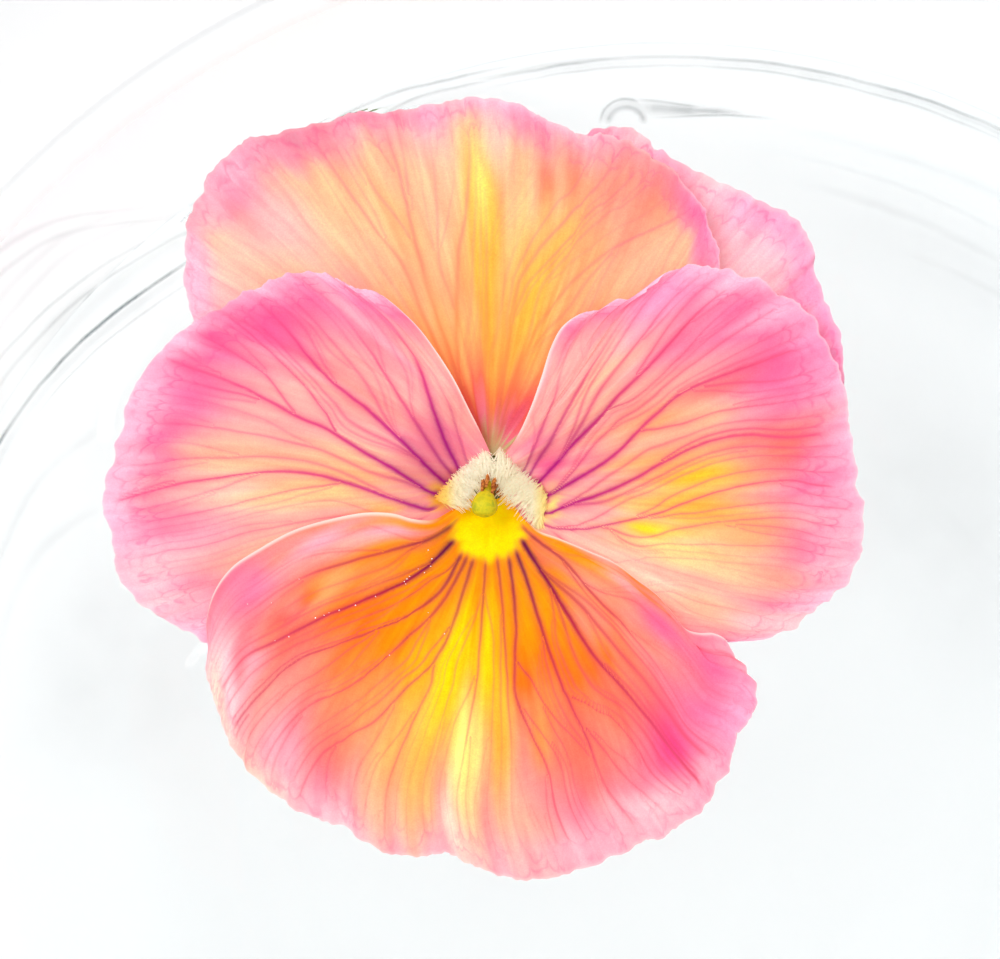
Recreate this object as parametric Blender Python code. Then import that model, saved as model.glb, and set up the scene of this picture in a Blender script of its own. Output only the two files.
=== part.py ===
"""A pansy blossom floating face up in a clear glass bowl of water.

Lengths are in millimetres and are scaled to metres as each mesh is made. The origin is under the middle of
the bowl's foot, with +Z up. Flower coordinates are measured in plan from the throat of the blossom, with +Y
towards the two upper petals, and in height from the water's surface. Azimuths are degrees about the
receptacle, counted anticlockwise from +X as seen from above.
"""

import math

import bmesh
import bpy
import numpy as np

MM = 0.001
SMOOTH_ANGLE = 40.0

# Glass bowl: its inside is part of an ellipse turned about the bowl's axis.
INNER_HALF_WIDTH = 76.0
INNER_DEPTH = 64.0
RIM_ANGLE = 67.0
FLOOR_THICKNESS = 6.0
WALL_THICKNESS = 3.0
FOOT_RADIUS = 31.0
FOOT_HEIGHT = 3.0
FOOT_EDGE = 0.7
FOOT_RECESS_RADIUS = 21.0
FOOT_RECESS_DEPTH = 1.2
TURNED_STEPS = 60

# Water: it fills the bowl up to the flower, with a plain pit for the parts that hang below the petals.
WATER_ANGLE = 54.3
SEAT_GAP = 0.3
PIT_RADIUS = 11.6
PIT_WAIST = 7.9
PIT_NECK = 3.4
PIT_STEPS = 32

# Flower: its throat in the bowl, and the receptacle that carries every part of it.
THROAT = (-13.8, 26.0)
RECEPTACLE = (-0.1, 1.6)
RECEPTACLE_RADIUS = 3.0
RECEPTACLE_HEIGHT = 1.6
PETAL_THICKNESS = 0.6
FLOAT_HEIGHT = 0.65
CLAW_HEIGHT = -3.0
FUNNEL_START = 2.2
FUNNEL_END = 8.5
LAYER = 1.05

# Where the blossom meets the side of the bowl, its edge climbs the glass.
CLIMB_START = 59.5
CLIMB_RATE = 0.165

PETAL_ROWS = 13
PETAL_COLUMNS = 22
ROW_CROWDING = 1.3
OUTLINE_SAMPLES = 10

# The petals' outlines in plan. Each runs clockwise round its petal, as seen from above: out along one side,
# round the free margin and back along the other side. The claw, an arc about the receptacle given as its
# first and last azimuth and its radius, joins the two ends. Where two petals cross, the later one is on top.
PETALS = {
    "petal_upper_right": {
        "claw": (76.0, 48.0, 2.9),
        "side_out": [(2.2, 7.5), (4.2, 13.0), (5.4, 19.0), (6.2, 25.0)],
        "margin": [
            (7.2, 28.6), (8.2, 29.8), (10.2, 30.1), (12.2, 28.8), (13.4, 27.8), (17.4, 25.9), (20.2, 24.5),
            (23.4, 23.0), (25.2, 21.2), (26.0, 17.8), (27.4, 14.4), (28.1, 10.4), (27.2, 6.8),
        ],
        "side_back": [(22.0, 4.6), (14.0, 3.8), (7.0, 3.6), (3.4, 3.6)],
    },
    "petal_upper_left": {
        "claw": (128.0, 98.0, 2.9),
        "side_out": [(-6.0, 6.2), (-12.0, 8.8), (-18.5, 11.0)],
        "margin": [
            (-22.8, 12.6), (-24.4, 16.2), (-24.6, 20.0), (-23.4, 24.0), (-21.6, 26.6), (-19.6, 28.6),
            (-15.4, 29.6), (-12.0, 30.6), (-5.2, 31.4), (-2.4, 32.0), (0.6, 32.0), (2.8, 31.2), (4.6, 30.0),
            (6.8, 29.3), (9.6, 29.0), (12.4, 27.6), (14.8, 26.2), (16.6, 24.2), (17.6, 21.6), (18.0, 18.0),
        ],
        "side_back": [(14.0, 13.8), (8.0, 10.2), (2.8, 7.6)],
    },
    "petal_side_left": {
        "claw": (190.0, 95.0, 2.3),
        "side_out": [(-4.0, -1.0), (-7.0, -4.0), (-12.0, -7.2), (-17.5, -9.8)],
        "margin": [
            (-21.4, -11.4), (-25.0, -10.2), (-28.6, -7.0), (-30.4, -3.6), (-30.5, -2.0), (-31.2, -0.6),
            (-30.2, 3.2), (-28.4, 9.0), (-26.8, 11.4), (-23.8, 14.1), (-20.6, 15.9), (-19.8, 16.6),
            (-17.2, 17.6), (-14.8, 18.2), (-12.4, 18.0), (-10.4, 17.0), (-8.8, 16.4),
        ],
        "side_back": [(-6.0, 13.9), (-4.0, 11.6), (-2.4, 8.3), (-0.9, 5.6)],
    },
    "petal_side_right": {
        "claw": (66.0, -10.0, 2.4),
        "side_out": [(1.9, 4.9), (3.0, 7.6), (4.3, 11.0), (5.4, 13.6)],
        "margin": [
            (7.4, 15.0), (10.0, 16.1), (11.8, 16.5), (13.6, 17.8), (15.2, 18.6), (18.0, 18.5), (21.4, 17.4),
            (25.0, 14.7), (27.2, 10.8), (28.6, 5.6), (29.0, 2.4), (29.7, -1.4), (29.0, -4.8), (26.8, -8.0),
            (23.6, -10.2), (19.6, -11.4),
        ],
        "side_back": [(15.0, -11.4), (10.0, -8.8), (6.5, -5.8), (4.0, -3.0), (2.9, -0.6)],
    },
    "petal_lower": {
        "claw": (308.0, 232.0, 2.2),
        "side_out": [(2.4, -1.3), (5.0, -2.8), (9.8, -5.0), (12.6, -7.4), (15.3, -10.2), (17.4, -10.6)],
        "margin": [
            (19.0, -11.8), (20.7, -14.0), (21.0, -16.2), (19.6, -18.8), (19.1, -20.8), (17.2, -24.2),
            (14.0, -26.4), (12.2, -27.1), (10.8, -28.3), (5.2, -30.0), (2.6, -30.3), (-1.0, -29.4),
            (-3.5, -28.2), (-7.4, -28.4), (-10.6, -26.9), (-14.6, -25.1), (-19.0, -22.0), (-21.4, -18.2),
            (-22.8, -13.6), (-22.7, -12.0), (-23.0, -9.2),
        ],
        "side_back": [
            (-21.4, -6.2), (-19.9, -4.4), (-15.4, -2.2), (-9.4, -1.0), (-6.4, -1.55), (-3.2, -0.9),
        ],
    },
}

# How far each petal stands above the lowest one, as (azimuth, height) stops.
STACKING = {
    "petal_upper_right": [(0.0, 0.0)],
    "petal_upper_left": [(84.0, LAYER), (112.0, 0.0)],
    "petal_side_left": [(105.0, 2 * LAYER), (150.0, LAYER), (157.0, LAYER), (184.0, 0.0)],
    "petal_side_right": [(-20.0, 0.0), (7.0, LAYER), (20.0, LAYER), (37.0, 2 * LAYER)],
    "petal_lower": [(216.0, LAYER), (246.0, 0.0), (284.0, 0.0), (312.0, LAYER)],
}

# Ripples of each petal towards its free margin: height, number of ripples and phase in turns. They begin at
# this share of the petal's length, and they die out this far ahead of a petal that lies over them.
RIPPLES = {
    "petal_upper_right": (0.5, 5.0, 0.1),
    "petal_upper_left": (1.1, 4.0, 0.35),
    "petal_side_left": (0.9, 3.5, 0.6),
    "petal_side_right": (0.8, 4.0, 0.2),
    "petal_lower": (0.9, 5.5, 0.45),
}
RIPPLE_START = 0.35
COVER_MARGIN = 0.4
COVER_FADE = 2.5

# A pleat in the margin of the upper left petal: its right part stands over its left part.
PLEAT_START = (4.5, 27.3)
PLEAT_END = (7.8, 29.1)
PLEAT_HEIGHT = 0.9
PLEAT_STEP = 0.5
PLEAT_FADE = (3.0, 9.0)

# The spur of the lower petal, as (x, y, height, radius) in flower coordinates.
SPUR = [
    (-0.1, -2.9, -1.9, 0.7), (-0.1, -3.8, -3.1, 1.0), (-0.1, -4.3, -5.0, 0.95), (-0.1, -4.2, -7.0, 0.8),
    (-0.1, -3.9, -7.9, 0.45),
]

# Sepals: the run of one blade from the tip of its ear to its point, as (distance from the axis, height,
# width), with a keel along its middle.
SEPAL_AZIMUTHS = (90.0, 20.0, 160.0, 228.0, 312.0)
SEPAL_RUN = [
    (2.9, -7.6, 0.9), (2.7, -6.4, 2.0), (2.6, -5.2, 2.3), (2.9, -4.2, 2.3), (4.4, -3.2, 2.5),
    (6.4, -2.4, 2.4), (8.4, -1.8, 1.7), (10.4, -1.4, 0.5),
]
SEPAL_THICKNESS = 0.6
SEPAL_KEEL = 0.35

# Stem: cut short, it curves down from the receptacle and tapers a little.
STEM_RADII = (0.8, 0.66)
STEM_LENGTH = 12.0
STEM_SWAY = (0.8, -1.4)
STEM_POINTS = 10

# Pistil: ovary, bent style and stigma in one, as (x, y, height, radius) from the receptacle's axis.
PISTIL = [
    (0.0, 0.0, -3.3, 0.45), (0.0, 0.0, -2.8, 0.65), (0.0, 0.0, -2.0, 0.45), (0.0, 0.0, -1.3, 0.28),
    (0.0, -0.1, -0.7, 0.28), (-0.1, -0.5, -0.1, 0.32), (-0.2, -0.9, 0.15, 0.72), (-0.3, -1.5, 0.35, 1.0),
    (-0.35, -2.1, 0.4, 0.95), (-0.4, -2.5, 0.4, 0.6),
]

# Stamens: the anthers lean in round the pistil, on the ring of their filaments (inner and outer radius,
# bottom and top height).
STAMEN_COUNT = 5
STAMEN_DISTANCE = 1.4
STAMEN_SIZE = (0.38, 0.95, 1.15)
STAMEN_CENTRE = -2.2
STAMEN_LEAN = 0.12
STAMEN_RING = (1.0, 1.7, -3.3, -2.5)

# Finishes: colour, roughness and alpha.
GLASS = ((0.92, 0.97, 0.98), 0.05, 0.25)
WATER = ((0.90, 0.96, 0.98), 0.02, 0.35)
PETAL_PINK = ((0.95, 0.36, 0.48), 0.6, 1.0)
PETAL_PEACH = ((0.97, 0.66, 0.42), 0.6, 1.0)
PETAL_ORANGE = ((0.98, 0.48, 0.20), 0.6, 1.0)
GREEN = ((0.30, 0.48, 0.16), 0.55, 1.0)
STIGMA_GREEN = ((0.72, 0.76, 0.10), 0.45, 1.0)
ANTHER_BROWN = ((0.72, 0.38, 0.10), 0.7, 1.0)
PETAL_FINISHES = {
    "petal_upper_right": PETAL_PINK,
    "petal_upper_left": PETAL_PEACH,
    "petal_side_left": PETAL_PINK,
    "petal_side_right": PETAL_PINK,
    "petal_lower": PETAL_ORANGE,
}


def smooth(value):
    """0 up to 1 with level ends, for numbers and arrays."""
    t = np.clip(value, 0.0, 1.0)
    return t * t * (3.0 - 2.0 * t)


def wall_point(angle, offset=0.0):
    """The (radius, height) of the bowl's inside at an angle from straight down, moved out by the offset."""
    a = math.radians(angle)
    r, z = INNER_HALF_WIDTH * math.sin(a), FLOOR_THICKNESS + INNER_DEPTH * (1.0 - math.cos(a))
    normal_r, normal_z = INNER_DEPTH * math.sin(a), -INNER_HALF_WIDTH * math.cos(a)
    length = math.hypot(normal_r, normal_z)
    return r + offset * normal_r / length, z + offset * normal_z / length


WATER_LEVEL = wall_point(WATER_ANGLE)[1]


def material(name, finish):
    colour, roughness, alpha = finish
    made = bpy.data.materials.new(name)
    made.use_nodes = True
    shader = made.node_tree.nodes["Principled BSDF"]
    shader.inputs["Base Color"].default_value = (*colour, 1.0)
    shader.inputs["Roughness"].default_value = roughness
    shader.inputs["Alpha"].default_value = alpha
    shader.inputs["Metallic"].default_value = 0.0
    return made


def add_object(name, data, finish):
    """Links an object with a material of its own, shaded smooth."""
    obj = bpy.data.objects.new(name, data)
    bpy.context.scene.collection.objects.link(obj)
    data.materials.append(material(name + "_finish", finish))
    if isinstance(data, bpy.types.Mesh):
        data.shade_smooth()
        data.set_sharp_from_angle(angle=math.radians(SMOOTH_ANGLE))
    return obj


def mesh_of(name, points, edges=(), faces=()):
    mesh = bpy.data.meshes.new(name)
    mesh.from_pydata([[c * MM for c in p] for p in points], list(edges), list(faces))
    mesh.update()
    return mesh


def turned(name, profile, finish, steps):
    """A body turned about Z from a profile of (radius, height) that runs down its outer side."""
    points = [(r, 0.0, z) for r, z in profile]
    edges = [(i, i + 1) for i in range(len(points) - 1)]
    obj = add_object(name, mesh_of(name, points, edges), finish)
    screw = obj.modifiers.new("turn", "SCREW")
    screw.steps = screw.render_steps = steps
    screw.use_merge_vertices = True
    screw.merge_threshold = 0.01 * MM
    screw.use_smooth_shade = True
    return obj


def place_on_flower(obj):
    """Moves a piece modelled about the receptacle's axis to its place in the bowl."""
    obj.location = (
        (THROAT[0] + RECEPTACLE[0]) * MM,
        (THROAT[1] + RECEPTACLE[1]) * MM,
        WATER_LEVEL * MM,
    )
    return obj


def evaluated_mesh(obj):
    return bpy.data.meshes.new_from_object(obj.evaluated_get(bpy.context.evaluated_depsgraph_get()))


def apply_modifiers(obj):
    """Replaces the object's mesh with what its modifiers make of it."""
    made = evaluated_mesh(obj)
    obj.modifiers.clear()
    obj.data = made


def joined(obj, others):
    """Unites obj with the others, which are then removed."""
    group = bpy.data.collections.new(obj.name + "_parts")
    bpy.context.scene.collection.children.link(group)
    for other in others:
        bpy.context.scene.collection.objects.unlink(other)
        group.objects.link(other)
    union = obj.modifiers.new("join", "BOOLEAN")
    union.operation = "UNION"
    union.operand_type = "COLLECTION"
    union.collection = group
    union.solver = "EXACT"
    apply_modifiers(obj)
    for other in others:
        bpy.data.objects.remove(other)
    bpy.data.collections.remove(group)
    return obj


def make_bowl():
    half_wall = WALL_THICKNESS / 2.0
    inner, rim = wall_point(RIM_ANGLE), wall_point(RIM_ANGLE, half_wall)
    before = wall_point(RIM_ANGLE - 1.0)
    rise = math.atan2(inner[1] - before[1], inner[0] - before[0])
    profile = [wall_point(a) for a in np.linspace(0.0, RIM_ANGLE, 12)]
    for turn in (45.0, 0.0, -45.0):
        a = rise + math.radians(turn)
        profile.append((rim[0] + half_wall * math.cos(a), rim[1] + half_wall * math.sin(a)))
    foot_angle = math.degrees(math.asin((FOOT_RADIUS + 2.0) / INNER_HALF_WIDTH))
    profile += [wall_point(a, WALL_THICKNESS) for a in np.linspace(RIM_ANGLE, foot_angle, 8)]
    profile += [
        (FOOT_RADIUS + 0.2, FOOT_HEIGHT),
        (FOOT_RADIUS, FOOT_EDGE),
        (FOOT_RADIUS - FOOT_EDGE, 0.0),
        (FOOT_RECESS_RADIUS + 1.0, 0.0),
        (FOOT_RECESS_RADIUS, 0.4),
        (FOOT_RECESS_RADIUS - 4.0, FOOT_RECESS_DEPTH),
        (0.0, FOOT_RECESS_DEPTH),
    ]
    return turned("bowl", profile, GLASS, TURNED_STEPS)


def make_water():
    wall = [wall_point(a, -SEAT_GAP) for a in np.linspace(WATER_ANGLE, 0.0, 11)]
    water = turned("water", [(0.0, WATER_LEVEL), (wall[0][0], WATER_LEVEL), *wall[1:]], WATER, TURNED_STEPS)
    bottom = -(STEM_LENGTH + 6.4)
    pit_profile = [
        (0.0, 1.0), (PIT_RADIUS, 1.0), (PIT_RADIUS, -2.4), (PIT_WAIST, -5.6), (PIT_WAIST - 0.5, -9.4),
        (PIT_NECK, -10.0), (PIT_NECK, bottom), (0.0, bottom),
    ]
    pit = place_on_flower(turned("pit", pit_profile, WATER, PIT_STEPS))
    pit.hide_render = True
    pit.display_type = "WIRE"
    cut = water.modifiers.new("pit", "BOOLEAN")
    cut.operation = "DIFFERENCE"
    cut.object = pit
    cut.solver = "EXACT"
    return water


def through(points, samples):
    """A smooth curve through the points, with this many steps between each two (centripetal Catmull-Rom)."""
    p = np.asarray(points, float)
    p = np.vstack([2.0 * p[0] - p[1], p, 2.0 * p[-1] - p[-2]])
    out = []
    for i in range(1, len(p) - 2):
        a, b, c, d = p[i - 1 : i + 3]
        ta = math.sqrt(np.linalg.norm(b - a))
        tb = ta + math.sqrt(np.linalg.norm(c - b))
        tc = tb + math.sqrt(np.linalg.norm(d - c))
        t = np.linspace(ta, tb, samples, endpoint=False)[:, None]
        ab = a + (b - a) * t / ta
        bc = b + (c - b) * (t - ta) / (tb - ta)
        cd = c + (d - c) * (t - tb) / (tc - tb)
        abc = ab + (bc - ab) * t / tb
        bcd = bc + (cd - bc) * (t - ta) / (tc - ta)
        out.append(abc + (bcd - abc) * (t - ta) / (tb - ta))
    out.append(p[-2:-1])
    return np.vstack(out)


def even(curve, shares):
    """Points of the curve at these shares of its length."""
    steps = np.linalg.norm(np.diff(curve, axis=0), axis=1)
    run = np.concatenate([[0.0], np.cumsum(steps)]) / steps.sum()
    return np.stack([np.interp(shares, run, curve[:, k]) for k in range(2)], axis=1)


def claw_arc(claw, shares):
    start, end, radius = claw
    a = np.radians(start + (end - start) * shares)
    return np.stack([RECEPTACLE[0] + radius * np.cos(a), RECEPTACLE[1] + radius * np.sin(a)], axis=1)


def petal_plan(name):
    """The petal in plan as a grid of points from its claw to its margin (a Coons patch), and its outline."""
    petal = PETALS[name]
    u = (np.arange(PETAL_ROWS + 1) / PETAL_ROWS) ** ROW_CROWDING
    v = np.arange(PETAL_COLUMNS + 1) / PETAL_COLUMNS
    corners = claw_arc(petal["claw"], np.array([0.0, 1.0]))
    stops = [corners[0], *petal["side_out"], *petal["margin"], *petal["side_back"], corners[1]]
    outline = through(stops, OUTLINE_SAMPLES)
    first = (len(petal["side_out"]) + 1) * OUTLINE_SAMPLES
    last = first + (len(petal["margin"]) - 1) * OUTLINE_SAMPLES
    start_side, end_side = even(outline[: first + 1], u), even(outline[last:][::-1], u)
    margin, claw = even(outline[first : last + 1], v), claw_arc(petal["claw"], v)
    u, v = u[:, None, None], v[None, :, None]
    sides = (1 - v) * start_side[:, None] + v * end_side[:, None]
    ends = (1 - u) * claw[None] + u * margin[None]
    bilinear = (1 - u) * ((1 - v) * claw[0] + v * claw[-1]) + u * ((1 - v) * margin[0] + v * margin[-1])
    return sides + ends - bilinear, outline


def distance_outside(points, outline):
    """How far each point lies outside a closed outline, and 0 inside it."""
    a, b = outline, np.roll(outline, -1, axis=0)
    flat = points.reshape(-1, 1, 2)
    along = b - a
    t = np.clip(((flat - a) * along).sum(-1) / np.maximum((along**2).sum(-1), 1e-9), 0.0, 1.0)
    gap = np.linalg.norm(flat - (a + along * t[..., None]), axis=-1).min(axis=1)
    x, y = flat[..., 0], flat[..., 1]
    straddles = (a[:, 1] <= y) != (b[:, 1] <= y)
    crossing = a[:, 0] + (y - a[:, 1]) * along[:, 0] / np.where(along[:, 1] == 0.0, 1.0, along[:, 1])
    inside = (straddles & (x < crossing)).sum(axis=1) % 2 == 1
    return np.where(inside, 0.0, gap).reshape(points.shape[:-1])


def stacking(name, azimuth):
    stops = STACKING[name]
    heights = np.full(azimuth.shape, stops[0][1])
    for (a, low), (b, high) in zip(stops, stops[1:]):
        heights = heights + (high - low) * smooth((azimuth - a) / (b - a))
    return heights


def pleat(plan):
    """The step where the upper left petal's margin is folded. It fades out down the petal."""
    start, end = np.array(PLEAT_START), np.array(PLEAT_END)
    along = (end - start) / np.linalg.norm(end - start)
    across = np.array([along[1], -along[0]])
    near, width = PLEAT_FADE
    inward, outward = (plan - start) @ along, (plan - start) @ across
    step = smooth(outward / PLEAT_STEP + 0.5)
    return PLEAT_HEIGHT * step * smooth((inward + 1.5) / 2.5) * (1.0 - smooth((outward - near) / width))


def petal_height(name, plan, covers):
    """The height of the petal's middle over the water, on its grid in plan."""
    rel = plan - np.array(RECEPTACLE)
    from_axis = np.linalg.norm(rel, axis=-1)
    claw = PETALS[name]["claw"]
    middle = 0.5 * (claw[0] + claw[1])
    azimuth = np.degrees(np.arctan2(rel[..., 1], rel[..., 0]))
    azimuth = middle + (azimuth - middle + 180.0) % 360.0 - 180.0
    rise = smooth((from_axis - FUNNEL_START) / (FUNNEL_END - FUNNEL_START))
    funnel = CLAW_HEIGHT + (FLOAT_HEIGHT - CLAW_HEIGHT) * rise
    clear = np.ones(from_axis.shape)
    for cover in covers:
        clear = clear * smooth((distance_outside(plan, cover) - COVER_MARGIN) / COVER_FADE)
    rows, columns = from_axis.shape
    u = np.linspace(0.0, 1.0, rows)[:, None]
    v = np.linspace(0.0, 1.0, columns)[None, :]
    height, count, phase = RIPPLES[name]
    wave = 0.5 + 0.5 * np.sin(2.0 * math.pi * (count * v + phase))
    ripple = height * wave * smooth((u - RIPPLE_START) / (1.0 - RIPPLE_START))
    if name == "petal_upper_left":
        ripple = ripple + pleat(plan)
    from_bowl_axis = np.linalg.norm(plan + np.array(THROAT), axis=-1)
    climb = CLIMB_RATE * np.maximum(from_bowl_axis - CLIMB_START, 0.0) ** 2
    return funnel + stacking(name, azimuth) + ripple * clear + climb


def make_petal(name, plan, covers):
    """One petal: its middle surface in triangles, thickened alike on both sides."""
    height = petal_height(name, plan, covers)
    rows, columns = height.shape
    points = [
        (THROAT[0] + plan[i, j, 0], THROAT[1] + plan[i, j, 1], WATER_LEVEL + height[i, j])
        for i in range(rows)
        for j in range(columns)
    ]
    faces = []
    for i in range(rows - 1):
        for j in range(columns - 1):
            a, b = i * columns + j, i * columns + j + 1
            c, d = b + columns, a + columns
            faces += [(a, d, c), (a, c, b)]
    petal = add_object(name, mesh_of(name, points, faces=faces), PETAL_FINISHES[name])
    thicken = petal.modifiers.new("thickness", "SOLIDIFY")
    thicken.thickness = PETAL_THICKNESS * MM
    thicken.offset = 0.0
    return petal


def make_petals():
    """All five petals, each kept level where a later one lies over it."""
    names = list(PETALS)
    plans = {name: petal_plan(name) for name in names}
    petals = {}
    for i, name in enumerate(names):
        covers = [plans[over][1] for over in names[i + 1 :]]
        petals[name] = make_petal(name, plans[name][0], covers)
    add_spur(petals["petal_lower"])


def tube(name, points, finish, resolution=2):
    """A round bar through (x, y, z, radius) points, with closed ends."""
    curve = bpy.data.curves.new(name, "CURVE")
    curve.dimensions = "3D"
    curve.bevel_depth = MM
    curve.bevel_resolution = resolution
    curve.use_fill_caps = True
    spline = curve.splines.new("POLY")
    spline.points.add(len(points) - 1)
    for place, (x, y, z, radius) in zip(spline.points, points):
        place.co = (x * MM, y * MM, z * MM, 1.0)
        place.radius = radius
    return add_object(name, curve, finish)


def eased(points, samples):
    """A smooth run through points of any number of values (cubic Hermite)."""
    p = np.asarray(points, float)
    slope = np.gradient(p, axis=0)
    out = []
    for i in range(len(p) - 1):
        for t in np.linspace(0.0, 1.0, samples, endpoint=False):
            value = (2 * t**3 - 3 * t**2 + 1) * p[i] + (3 * t**2 - 2 * t**3) * p[i + 1]
            out.append(value + (t**3 - 2 * t**2 + t) * slope[i] + (t**3 - t**2) * slope[i + 1])
    out.append(p[-1])
    return out


def add_spur(petal):
    """Fuses the nectar spur to the back of the lower petal."""
    shift = np.array([THROAT[0], THROAT[1], WATER_LEVEL, 0.0])
    bar = tube("spur_bar", eased(np.array(SPUR) + shift, 2), PETAL_ORANGE)
    spur = bpy.data.objects.new("spur", evaluated_mesh(bar))
    bpy.data.objects.remove(bar)
    bpy.context.scene.collection.objects.link(spur)
    apply_modifiers(petal)
    return joined(petal, [spur])


def make_sepal(azimuth):
    """One sepal with its ear, as a keeled strip, thickened."""
    a = math.radians(azimuth)
    out, side = np.array([math.cos(a), math.sin(a)]), np.array([-math.sin(a), math.cos(a)])
    run = eased(SEPAL_RUN, 2)
    points, faces = [], []
    for r, z, width in run:
        for share in (-1.0, 0.0, 1.0):
            x, y = out * r + side * share * width / 2.0
            points.append((x, y, z - SEPAL_KEEL * (1.0 - abs(share))))
    for i in range(len(run) - 1):
        for j in range(2):
            p, q = 3 * i + j, 3 * i + j + 1
            faces += [(p, q, q + 3), (p, q + 3, p + 3)]
    sepal = place_on_flower(add_object("sepal", mesh_of("sepal", points, faces=faces), GREEN))
    thicken = sepal.modifiers.new("thickness", "SOLIDIFY")
    thicken.thickness = SEPAL_THICKNESS * MM
    thicken.offset = 0.0
    apply_modifiers(sepal)
    return sepal


def make_calyx():
    top = CLAW_HEIGHT - PETAL_THICKNESS / 2.0 - SEAT_GAP
    bottom = top - RECEPTACLE_HEIGHT
    profile = [
        (0.0, top), (RECEPTACLE_RADIUS, top), (RECEPTACLE_RADIUS + 0.2, top - 0.4),
        (RECEPTACLE_RADIUS - 0.3, bottom + 0.4), (1.5, bottom), (0.0, bottom),
    ]
    calyx = place_on_flower(turned("calyx", profile, GREEN, 20))
    apply_modifiers(calyx)
    return joined(calyx, [make_sepal(a) for a in SEPAL_AZIMUTHS])


def make_stem():
    top = CLAW_HEIGHT - PETAL_THICKNESS / 2.0 - 2.0 * SEAT_GAP - RECEPTACLE_HEIGHT
    points = []
    for share in np.linspace(0.0, 1.0, STEM_POINTS):
        sway = share**2
        radius = STEM_RADII[0] + (STEM_RADII[1] - STEM_RADII[0]) * share
        points.append((STEM_SWAY[0] * sway, STEM_SWAY[1] * sway, top - STEM_LENGTH * share, radius))
    return place_on_flower(tube("stem", points, GREEN))


def make_pistil():
    return place_on_flower(tube("pistil", eased(PISTIL, 2), STIGMA_GREEN, resolution=3))


def make_anther(azimuth):
    ball = bmesh.new()
    bmesh.ops.create_uvsphere(ball, u_segments=8, v_segments=6, radius=MM)
    mesh = bpy.data.meshes.new("anther")
    ball.to_mesh(mesh)
    ball.free()
    out, side = math.cos(azimuth), math.sin(azimuth)
    for vertex in mesh.vertices:
        x, y, z = (c * s for c, s in zip(vertex.co, STAMEN_SIZE))
        x += STAMEN_DISTANCE * MM - STAMEN_LEAN * z
        vertex.co = (x * out - y * side, x * side + y * out, z + STAMEN_CENTRE * MM)
    anther = bpy.data.objects.new("anther", mesh)
    bpy.context.scene.collection.objects.link(anther)
    return place_on_flower(anther)


def make_stamens():
    """Five anthers that lean together round the pistil, on the ring that their filaments form."""
    inner, outer, bottom, top = STAMEN_RING
    profile = [(inner, bottom), (inner, top), (outer, top), (outer, bottom), (inner, bottom)]
    ring = place_on_flower(turned("stamens", profile, ANTHER_BROWN, 20))
    apply_modifiers(ring)
    turns = [(i + 0.5) / STAMEN_COUNT for i in range(STAMEN_COUNT)]
    return joined(ring, [make_anther(2.0 * math.pi * turn) for turn in turns])


def main():
    for obj in list(bpy.data.objects):
        bpy.data.objects.remove(obj)
    make_bowl()
    make_water()
    make_petals()
    make_calyx()
    make_stem()
    make_pistil()
    make_stamens()


main()
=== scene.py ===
"""Looks of a pansy blossom that floats in a glass bowl of water.

Lengths are in millimetres and are scaled to metres as each mesh is made. Flower coordinates are measured in
plan from the throat of the blossom, with +Y towards the upper petals, and in height from the water.
"""

import math

import bpy
import numpy as np
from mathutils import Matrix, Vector
from mathutils.bvhtree import BVHTree


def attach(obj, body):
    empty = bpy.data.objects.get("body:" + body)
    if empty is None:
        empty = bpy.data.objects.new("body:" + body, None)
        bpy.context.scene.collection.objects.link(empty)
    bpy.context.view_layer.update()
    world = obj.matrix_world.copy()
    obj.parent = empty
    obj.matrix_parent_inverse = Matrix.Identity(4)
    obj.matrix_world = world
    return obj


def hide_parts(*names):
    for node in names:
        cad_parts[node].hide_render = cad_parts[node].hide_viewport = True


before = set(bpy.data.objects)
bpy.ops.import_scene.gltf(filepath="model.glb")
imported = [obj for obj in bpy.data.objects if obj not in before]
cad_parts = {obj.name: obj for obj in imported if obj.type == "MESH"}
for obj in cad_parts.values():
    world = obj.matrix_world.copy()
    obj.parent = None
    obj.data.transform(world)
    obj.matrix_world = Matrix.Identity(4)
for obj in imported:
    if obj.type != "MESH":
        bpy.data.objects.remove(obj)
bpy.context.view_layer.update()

MM = 0.001
WHITE = (1.0, 1.0, 1.0)
WATER_IOR = 1.33
GLASS_IOR = 1.45
DRY_GLASS_IOR = 1.3

# How the water lies: its gap to the glass and to the petals, its rise at the glass and over what distance,
# and how far from the throat it looks for petals.
WATER_GAP = 0.03
FILM = 0.04
MENISCUS = 1.05
MENISCUS_REACH = 1.7
FLOWER_REACH = 45.0

# Bowl and water, as in the part.
INNER_HALF_WIDTH = 76.0
INNER_DEPTH = 64.0
RIM_ANGLE = 66.85
FLOOR_THICKNESS = 6.0
WALL_THICKNESS = 3.0
FOOT_RADIUS = 31.0
FOOT_HEIGHT = 3.0
FOOT_EDGE = 0.7
FOOT_RECESS_RADIUS = 21.0
FOOT_RECESS_DEPTH = 1.2
WATER_ANGLE = 54.3
THROAT = (-13.8, 26.0)
RECEPTACLE = (-0.1, 1.6)
RECEPTACLE_RADIUS = 3.0
RECEPTACLE_HEIGHT = 1.6
FLOAT_HEIGHT = 0.5
CLAW_HEIGHT = -3.0
FUNNEL_START = 2.2
FUNNEL_END = 8.5
LAYER = 0.85
CLIMB_START = 59.5
CLIMB_RATE = 0.165

# Petal blades: thickness at the claw and at the margin.
CLAW_THICKNESS = 0.5
MARGIN_THICKNESS = 0.2
ROW_CROWDING = 1.15
OUTLINE_SAMPLES = 24

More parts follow.
